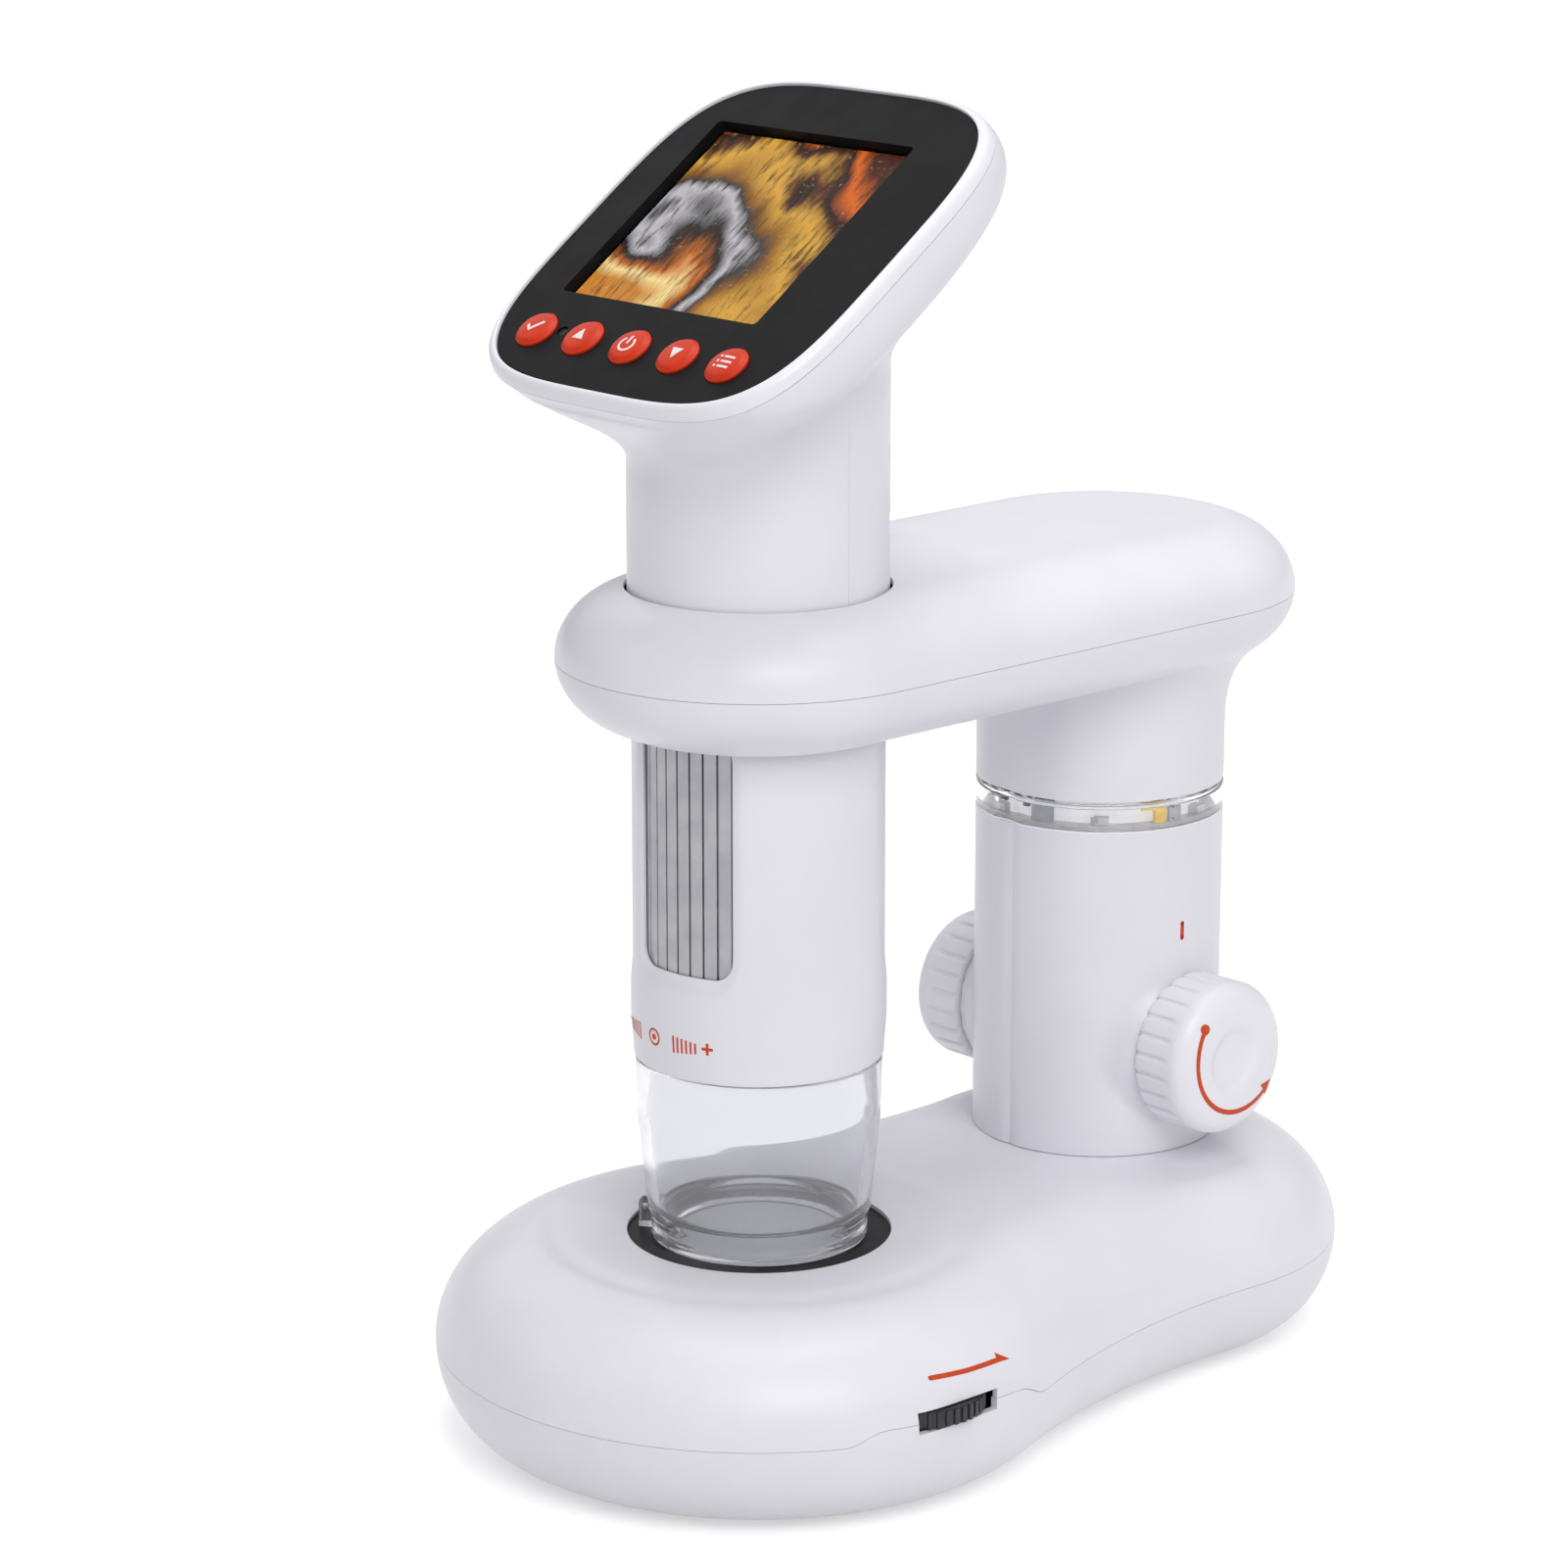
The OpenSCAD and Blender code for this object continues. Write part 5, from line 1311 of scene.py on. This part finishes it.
def ring_of_bars():
    """Rounded upright bars set round a vertical axis at an even turn from each other."""
    tree = bpy.data.node_groups.new("bars_round_axis", "GeometryNodeTree")
    face = tree.interface
    kinds = {"Count": "Int", "Centre": "Vector", "Material": "Material"}
    for name in BAR_INPUTS:
        kind = "NodeSocket" + kinds.get(name, "Float")
        face.new_socket(name, in_out="INPUT", socket_type=kind)
    face.new_socket("Geometry", in_out="OUTPUT", socket_type="NodeSocketGeometry")
    nodes, links = tree.nodes, tree.links
    given = nodes.new("NodeGroupInput").outputs

    def node(kind, inputs, output=0, **settings):
        new = nodes.new(kind)
        for key, value in settings.items():
            setattr(new, key, value)
        for key, value in inputs.items():
            if isinstance(value, bpy.types.NodeSocket):
                links.new(value, new.inputs[key])
            else:
                new.inputs[key].default_value = value
        return new.outputs[output]

    index = node("GeometryNodeInputIndex", {})
    step = node("ShaderNodeMath", {0: index, 1: given["Turn"]}, operation="MULTIPLY")
    angle = node("ShaderNodeMath", {0: step, 1: given["Start"]}, operation="ADD")
    cosine = node("ShaderNodeMath", {0: angle}, operation="COSINE")
    sine = node("ShaderNodeMath", {0: angle}, operation="SINE")
    way = node("ShaderNodeCombineXYZ", {0: cosine, 1: sine})
    out = node("ShaderNodeVectorMath", {0: way, "Scale": given["Radius"]}, operation="SCALE")
    spot = node("ShaderNodeVectorMath", {0: out, 1: given["Centre"]}, operation="ADD")
    line = node("GeometryNodeMeshLine", {"Count": given["Count"]})
    placed = node("GeometryNodeSetPosition", {"Geometry": line, "Position": spot})
    upright = node("ShaderNodeCombineXYZ", {2: given["Tall"]})
    path = node("GeometryNodeCurvePrimitiveLine", {"End": upright})
    outline = node(
        "GeometryNodeCurvePrimitiveQuadrilateral",
        {"Width": given["Deep"], "Height": given["Across"]},
    )
    soft = node(
        "GeometryNodeFilletCurve",
        {"Curve": outline, "Count": 3, "Radius": given["Corner"], "Limit Radius": True},
        mode="POLY",
    )
    bar = node("GeometryNodeCurveToMesh", {"Curve": path, "Profile Curve": soft, "Fill Caps": True})
    facing = node("ShaderNodeCombineXYZ", {2: angle})
    inputs = {"Points": placed, "Instance": bar, "Rotation": facing}
    copies = node("GeometryNodeInstanceOnPoints", inputs)
    whole = node("GeometryNodeRealizeInstances", {"Geometry": copies})
    painted = node("GeometryNodeSetMaterial", {"Geometry": whole, "Material": given["Material"]})
    links.new(painted, nodes.new("NodeGroupOutput").inputs[0])
    return tree


BARS = ring_of_bars()
FOCUS_RIBS = 48
DIMMER_RIBS = 44


def bars(name, body, material, sharp=40, **sizes):
    """An even set of bars from the tree; lengths in millimetres, its start in radians."""
    sizes["turn"] = 2 * math.pi / sizes["count"]
    piece = placed(name, bpy.data.meshes.new(name))
    mod = piece.modifiers.new("bars", "NODES")
    mod.node_group = BARS
    for socket in BARS.interface.items_tree:
        if socket.in_out == "OUTPUT":
            continue
        value = material if socket.name == "Material" else sizes[socket.name.lower()]
        if socket.name == "Centre":
            value = [float(c) * MM for c in value]
        elif socket.name in BAR_LENGTHS:
            value = float(value) * MM
        mod[socket.identifier] = value
    return finish_piece(baked(piece), body, None, (), sharp)


def build_focus_wheel():
    low, high = corners("focus_wheel")
    r = (high[0] - low[0]) / 2
    outer, bore = r - 0.5, 12.6
    core = [(outer, low[2]), (outer, high[2]), (bore, high[2]), (bore, low[2])]
    wheel = lathe("focus_wheel_core", rounded(core, 0.2, 2), SCOPE, 144)
    finish_piece(wheel, "focus", SILVER, ["focus_wheel"])
    bars(
        "focus_wheel_ribs", "focus", SILVER, count=FOCUS_RIBS, start=0.03,
        radius=r - 0.43, across=1.8, deep=0.8, corner=0.16, tall=high[2] - low[2] - 0.1,
        centre=(0, SCOPE_Y, low[2] + 0.05),
    )


def build_dimmer():
    outer, bore = DIMMER_R - 0.32, 1.6
    low, high = DIMMER_LOW[2], DIMMER_HIGH[2]
    core = [(outer, low), (outer, high), (bore, high), (bore, low)]
    wheel = lathe("dimmer_core", rounded(core, 0.25, 2), (DIMMER_X, DIMMER_Y), 132)
    finish_piece(wheel, "dimmer", WHEEL, ["dimmer_wheel"])
    bars(
        "dimmer_ribs", "dimmer", WHEEL, count=DIMMER_RIBS, start=0,
        radius=DIMMER_R - 0.36, across=0.72, deep=0.7, corner=0.2, tall=DIMMER_T - 0.3,
        centre=(DIMMER_X, DIMMER_Y, low + 0.15),
    )


build_focus_wheel()
build_dimmer()

# ---------- prints ----------


def ribbon(path, width, step=0.5):
    """Quads along a path in a plane, as points and faces."""
    line = []
    for a, b in zip(path, path[1:]):
        a, b = np.array(a, float), np.array(b, float)
        n = max(1, math.ceil(np.linalg.norm(b - a) / step))
        line += [a + (b - a) * k / n for k in range(n)]
    line.append(np.array(path[-1], float))
    points = []
    for i, p in enumerate(line):
        ahead = line[min(i + 1, len(line) - 1)] - line[max(i - 1, 0)]
        ahead /= np.linalg.norm(ahead)
        side = np.array([-ahead[1], ahead[0]]) * width / 2
        points += [p - side, p, p + side]
    return points, grid_faces(len(line), 3)


def disc(cx, cy, r, steps=28):
    """A filled circle, as points and faces."""
    points = [(cx, cy), *ring_outline(cx, cy, r, steps)]
    return points, [(0, k + 1, (k + 1) % steps + 1) for k in range(steps)]


def wedge(a, b, c, steps=5):
    """A filled triangle in small faces."""
    a, b, c = (np.array(p, float) for p in (a, b, c))
    points, faces = [], []
    for i in range(steps + 1):
        left, right = a + (b - a) * i / steps, a + (c - a) * i / steps
        points += [left + (right - left) * j / max(i, 1) for j in range(i + 1)]
    for i in range(steps):
        first, after = i * (i + 1) // 2, (i + 1) * (i + 2) // 2
        for j in range(i + 1):
            faces.append((first + j, after + j, after + j + 1))
            if j < i:
                faces.append((first + j, after + j + 1, first + j + 1))
    return points, faces


def arc_path(cx, cy, r, start, end, steps=24):
    """Points along an arc, for a ribbon."""
    turns = spread([start, end], abs(end - start) / steps)
    return [(cx + r * math.cos(a), cy + r * math.sin(a)) for a in turns]


def printed(name, shapes, body, material, place, proud=0.03, sunk=0.02):
    """Ink shapes laid on a surface; place gives a surface point and its outward way."""
    points, faces = joined(shapes)
    spots = [place(float(x), float(y)) for x, y in points]
    count = len(spots)
    both = [p + n * proud for p, n in spots] + [p - n * sunk for p, n in spots]
    edges = {}
    for face in faces:
        for edge in zip(face, face[1:] + face[:1]):
            edges[edge] = True
    solid = faces + [tuple(count + v for v in reversed(face)) for face in faces]
    solid += [(b, a, count + a, count + b) for a, b in edges if (b, a) not in edges]
    piece = make(name, both, solid, 0.0005)
    return finish_piece(piece, body, material, (), 60)


def landing(piece, origin, right, up, into):
    """Lays plane points on a piece by casting them along a direction."""
    tree = BVHTree.FromObject(piece, bpy.context.evaluated_depsgraph_get())
    origin, right, up, into = (Vector(map(float, v)) for v in (origin, right, up, into))

    def place(x, y):
        start = (origin + right * x + up * y) * MM
        hit, normal, _, _ = tree.ray_cast(start, into.normalized())
        if hit is None:
            hit, normal, _, _ = tree.find_nearest(start)
        if normal.dot(into) > 0:
            normal = -normal
        return np.array(hit) / MM, np.array(normal)

    return place


def on_barrel(x, z):
    """x round the barrel from its front towards the right, z its height."""
    way = turn(x / SCOPE_R - math.pi / 2)
    return np.array([*(SCOPE + barrel_skin_r(z) * way), z]), np.array([*way, 0])


def beside(piece, side, y, z):
    """Lays plane points on a piece's right (1) or left (-1) side, round a point there."""
    return landing(piece, (side * 60, y, z), (0, side, 0), (0, 0, 1), (-side, 0, 0))


def print_dimmer_arrow():
    """A line from a dot towards the rear, over the thumbwheel, with a half arrowhead."""
    width = 0.56
    start = (-3.7, 5.15)
    arrow = [
        ribbon([start, (2, 4.9), (7.6, 4.83)], width),
        disc(*start, width / 2),
        wedge((9.9, 4.4), (7.6, 5.7), (7.6, 4.55)),
    ]
    place = beside(bpy.data.objects["base_upper_skin"], 1, DIMMER_Y, DIMMER_Z)
    printed("print_dimmer_arrow", arrow, "stand", INK, place)


def print_height_mark():
    """A short upright stroke with round ends on the column."""
    width, half = 0.64, 1.05
    mark = [ribbon([(0, -half), (0, half)], width)]
    mark += [disc(0, end, width / 2) for end in (-half, half)]
    column = bpy.data.objects["column_shell_right_skin"]
    place = beside(column, 1, COLUMN_Y - 1.1, COLUMN_Z + 31.7)
    printed("print_height_mark", mark, "stand", INK, place)


def print_turn_arrows():
    """A turning arrow that starts at a dot, on each knob's face."""
    first, last, reach = math.radians(146), math.radians(309), 8.45
    middle = np.array([0.9, 1.0])
    barb = 1.25
    curve = arc_path(*middle, reach, first, last)
    head = [middle + reach * turn(last + 0.22)]
    head += [middle + (reach + aside) * turn(last - 0.02) for aside in (barb, -barb)]
    shapes = [ribbon(curve, 0.7), disc(*curve[0], 0.76), wedge(*head)]
    place = beside(right_knob, 1, COLUMN_Y, SHAFT_Z)
    printed("print_turn_arrow", shapes, "drive", INK, place)
    place = beside(left_knob, -1, COLUMN_Y, SHAFT_Z)
    printed("print_turn_arrow_left", shapes, "drive", INK, place)


def print_focus_scale():
    """A minus, ticks, a focus mark, ticks and a plus under the focus window."""
    z = BARREL_Z + 4.9
    plus_x, plus_half, mark_x, line = 7.25, 0.8, -1.85, 0.4
    signs = [
        ribbon([(plus_x - plus_half, z), (plus_x + plus_half, z)], line),
        ribbon([(plus_x, z - plus_half), (plus_x, z + plus_half)], line),
        ribbon(arc_path(mark_x, z, 1.05, 0, 2 * math.pi), 0.3),
        disc(mark_x, z, 0.42),
        ribbon([(-12, z), (-10.7, z)], line),
    ]
    for i in range(6):
        half = 1.18 - 0.09 * i
        for x in (1.95 + 0.707 * i, -5.6 - 0.78 * i):
            signs.append(ribbon([(x, z - 0.15 - half), (x, z - 0.15 + half)], 0.3))
    printed("print_focus_scale", signs, "scope", INK, on_barrel)


def key_symbols():
    """Tick, up, power, down and menu signs, as shapes round each key's middle."""
    up = [wedge((0, 1.05), (-0.95, -0.75), (0.95, -0.75))]
    down = [wedge((0, -1.05), (0.95, 0.75), (-0.95, 0.75))]
    tick = [ribbon([(-1.15, 0.1), (-0.35, -0.75), (1.2, 0.95)], 0.42)]
    gap = math.radians(38)
    power = [ribbon(arc_path(0, -0.1, 1.15, math.pi / 2 + gap, 2.5 * math.pi - gap), 0.32)]
    power.append(ribbon([(0, -0.1), (0, 1.35)], 0.32))
    menu = []
    for y in (-0.85, 0, 0.85):
        menu += [ribbon([(-0.55, y), (1.25, y)], 0.34), disc(-1.1, y, 0.2)]
    return [tick, up, power, down, menu]


def build_symbols():
    for x0, key, shapes in zip(KEYS_X, KEYS, key_symbols()):

        def place(x, y):
            centre = on_screen(x0 + x, -KEY_DOWN + y, key_top(math.hypot(x, y)))
            return centre, on_screen(0, 0, 1) - on_screen(0, 0, 0)

        printed("symbol_" + key, shapes, "key_" + key, INK_WHITE, place)


print_dimmer_arrow()
print_height_mark()
print_turn_arrows()
print_focus_scale()
build_symbols()

# ---------- picture on the display ----------


def picture():
    """A lit close-up of a cut stone: broad curved bands of amber, cream, brown and grey."""
    show = Finish("lcd_picture", (0.01, 0.01, 0.01, 1), Roughness=0.4, Specular_IOR_Level=0.1)
    away, reach = show.distance(show.place(), tuple(on_screen(-27, -22, 0) * MM))
    drawn = show.add("ShaderNodeVectorMath", {0: away, 1: (1, 0.2, 0.2)}, operation="MULTIPLY")
    fibre = show.noise(0.9, 4, drawn, 0.65)
    sway = show.noise(15, 1.5) - 0.5
    grain = show.noise(0.8, 3, roughness=0.6)
    band = (reach - 0.014) / 0.042 + sway * 0.9 + (fibre - 0.5) * 0.12
    stone = show.ramp(
        band, (0.0, paint(206, 132, 40)), (0.13, paint(252, 224, 150)),
        (0.22, paint(196, 104, 20)), (0.3, paint(60, 28, 10)), (0.33, paint(22, 20, 22)),
        (0.4, paint(196, 194, 200)), (0.46, paint(60, 54, 54)), (0.52, paint(148, 96, 22)),
        (0.64, paint(222, 168, 62)), (0.72, paint(84, 44, 10)), (0.76, paint(18, 12, 10)),
        (0.84, paint(222, 104, 14)), (1.0, paint(74, 26, 6)),
    )
    dusk = show.mix(fibre.step(0.46, 0.72) * 0.75, stone, paint(30, 16, 8))
    colour = show.mix(grain.step(0.6, 0.8) * 0.35, dusk, paint(255, 226, 160))
    show.set("Emission Color", colour)
    show.set("Emission Strength", 0.95)
    return show.material


def build_display():
    """The picture, a thin slab under the glass, a little off the window's middle."""
    outline = round_box(WINDOW_W - 0.8, WINDOW_V - 0.85, 0.3, 3)
    outline = [(x + WINDOW_AT[0] + 0.3, y + WINDOW_AT[1] - 0.18) for x, y in outline]
    low, thick = -PANEL_SINK - PANEL_T, 0.18
    slab = prism("lcd_picture_face", outline, low, low + thick, on_screen)
    finish_piece(slab, "scope", picture())


build_display()

# ---------- finishes of the frame's own pieces ----------

FRAME_FINISHES = [
    (STEEL, "battery_contacts door_screw base_screws column_screws knob_shaft pinion lift_rack"),
    (STEEL, "post_screws arm_screws casing_screws guide_rods board_screws key_switches"),
    (STEEL, "usb_socket"),
    (BRASS, "shaft_bushes"),
    (STAGE, "stage_plate"),
    (GREY, "stage_diffuser dimmer_pot post_guide slide_post scope_battery"),
    (BOARD, "stage_light_board scope_lamp_board sensor_board main_board"),
    (BOARD_WHITE, "ring_light_board"),
    (CELL, "battery_cells"),
    (WHITE, "battery_door"),
    (RUBBER, "rubber_feet grip_ring"),
    (DARK, "lens_carrier lcd_module indicator_lens"),
    (GLASS, "objective_lens screen_pane"),
]
for material, node_names in FRAME_FINISHES:
    for node_name in node_names.split():
        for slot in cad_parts[node_name].material_slots:
            slot.link = "OBJECT"
            slot.material = material

# ---------- floor, lamps and camera ----------


def bright_for_looks(finish):
    """1 for camera, glossy and transmission rays, else 0."""
    path = finish.add("ShaderNodeLightPath")
    names = ("Is Camera Ray", "Is Glossy Ray", "Is Transmission Ray")
    camera, glossy, through = (Value(finish, path.socket.node.outputs[n]) for n in names)
    return camera.math("MAXIMUM", camera, glossy.math("MAXIMUM", glossy, through))


def build_floor():
    pale = Finish("pale_floor", (0.8, 0.8, 0.8, 1), Roughness=0.9, Specular_IOR_Level=0.0)
    away = pale.add("ShaderNodeVectorMath", {0: pale.place()}, 1, operation="LENGTH")
    far = away.step(0.25, 1.2)
    glow = bright_for_looks(pale) * (far * 0.5 + 0.5)
    pale.set("Emission Color", pale.mix(glow, (0, 0, 0, 1), (1, 1, 1, 1)))
    pale.set("Emission Strength", 1.0)
    size, z = 4000, -0.05
    points = [(-size, -size, z), (size, -size, z), (size, size, z), (-size, size, z)]
    floor = make("floor", points, [(0, 1, 2, 3)])
    floor.data.materials.append(pale.material)


def build_world():
    """White to the camera, and an even soft grey as light."""
    world = bpy.data.worlds.new("studio")
    bpy.context.scene.world = world
    world.use_nodes = True
    tree = world.node_tree
    background = tree.nodes["Background"]
    path = tree.nodes.new("ShaderNodeLightPath")
    pick = tree.nodes.new("ShaderNodeMix")
    pick.data_type = "RGBA"
    pick.inputs[6].default_value = (0.4, 0.4, 0.415, 1)
    pick.inputs[7].default_value = (1, 1, 1, 1)
    tree.links.new(path.outputs["Is Camera Ray"], pick.inputs[0])
    tree.links.new(pick.outputs[2], background.inputs["Color"])
    background.inputs["Strength"].default_value = 1


LAMP_SIZE = 700
LAMP_AIM = Vector((0, 0, 90))


def hang(name, data, spot, way):
    """A lamp or camera at a spot in millimetres, that looks along a way."""
    holder = placed(name, data)
    turned = way.to_track_quat("-Z", "Y").to_matrix().to_4x4()
    holder.matrix_world = Matrix.Translation(spot * MM) @ turned
    return holder


def lamp(name, power, *spot):
    """A soft square lamp that faces the object's middle."""
    light = bpy.data.lights.new(name, "AREA")
    light.shape = "SQUARE"
    light.size = LAMP_SIZE * MM
    light.energy = power
    hang(name, light, Vector(spot), LAMP_AIM - Vector(spot))


CAMERA_TURN = math.radians(47.373)
CAMERA_PITCH = math.radians(14.789)
CAMERA_AWAY = 618.86
CAMERA_ASIDE = -3.324
CAMERA_UP = 225.2
CAMERA_LENS = 112.43


def build_camera():
    camera = bpy.data.cameras.new("camera")
    camera.lens = CAMERA_LENS
    camera.sensor_width = 36
    ahead = Vector((-math.sin(CAMERA_TURN), math.cos(CAMERA_TURN), 0))
    right = Vector((math.cos(CAMERA_TURN), math.sin(CAMERA_TURN), 0))
    spot = Vector((0, SCOPE_Y, STAGE_TOP + CAMERA_UP)) - ahead * CAMERA_AWAY - right * CAMERA_ASIDE
    look = ahead * math.cos(CAMERA_PITCH) - Vector((0, 0, math.sin(CAMERA_PITCH)))
    bpy.context.scene.camera = hang("camera", camera, spot, look)


build_floor()
build_world()
lamp("key_lamp", 6.8, 900, -500, 900)
lamp("top_lamp", 5.3, 0, 100, 1200)
lamp("back_lamp", 1.2, -900, 300, 700)
build_camera()
bpy.context.scene.view_settings.view_transform = "Standard"
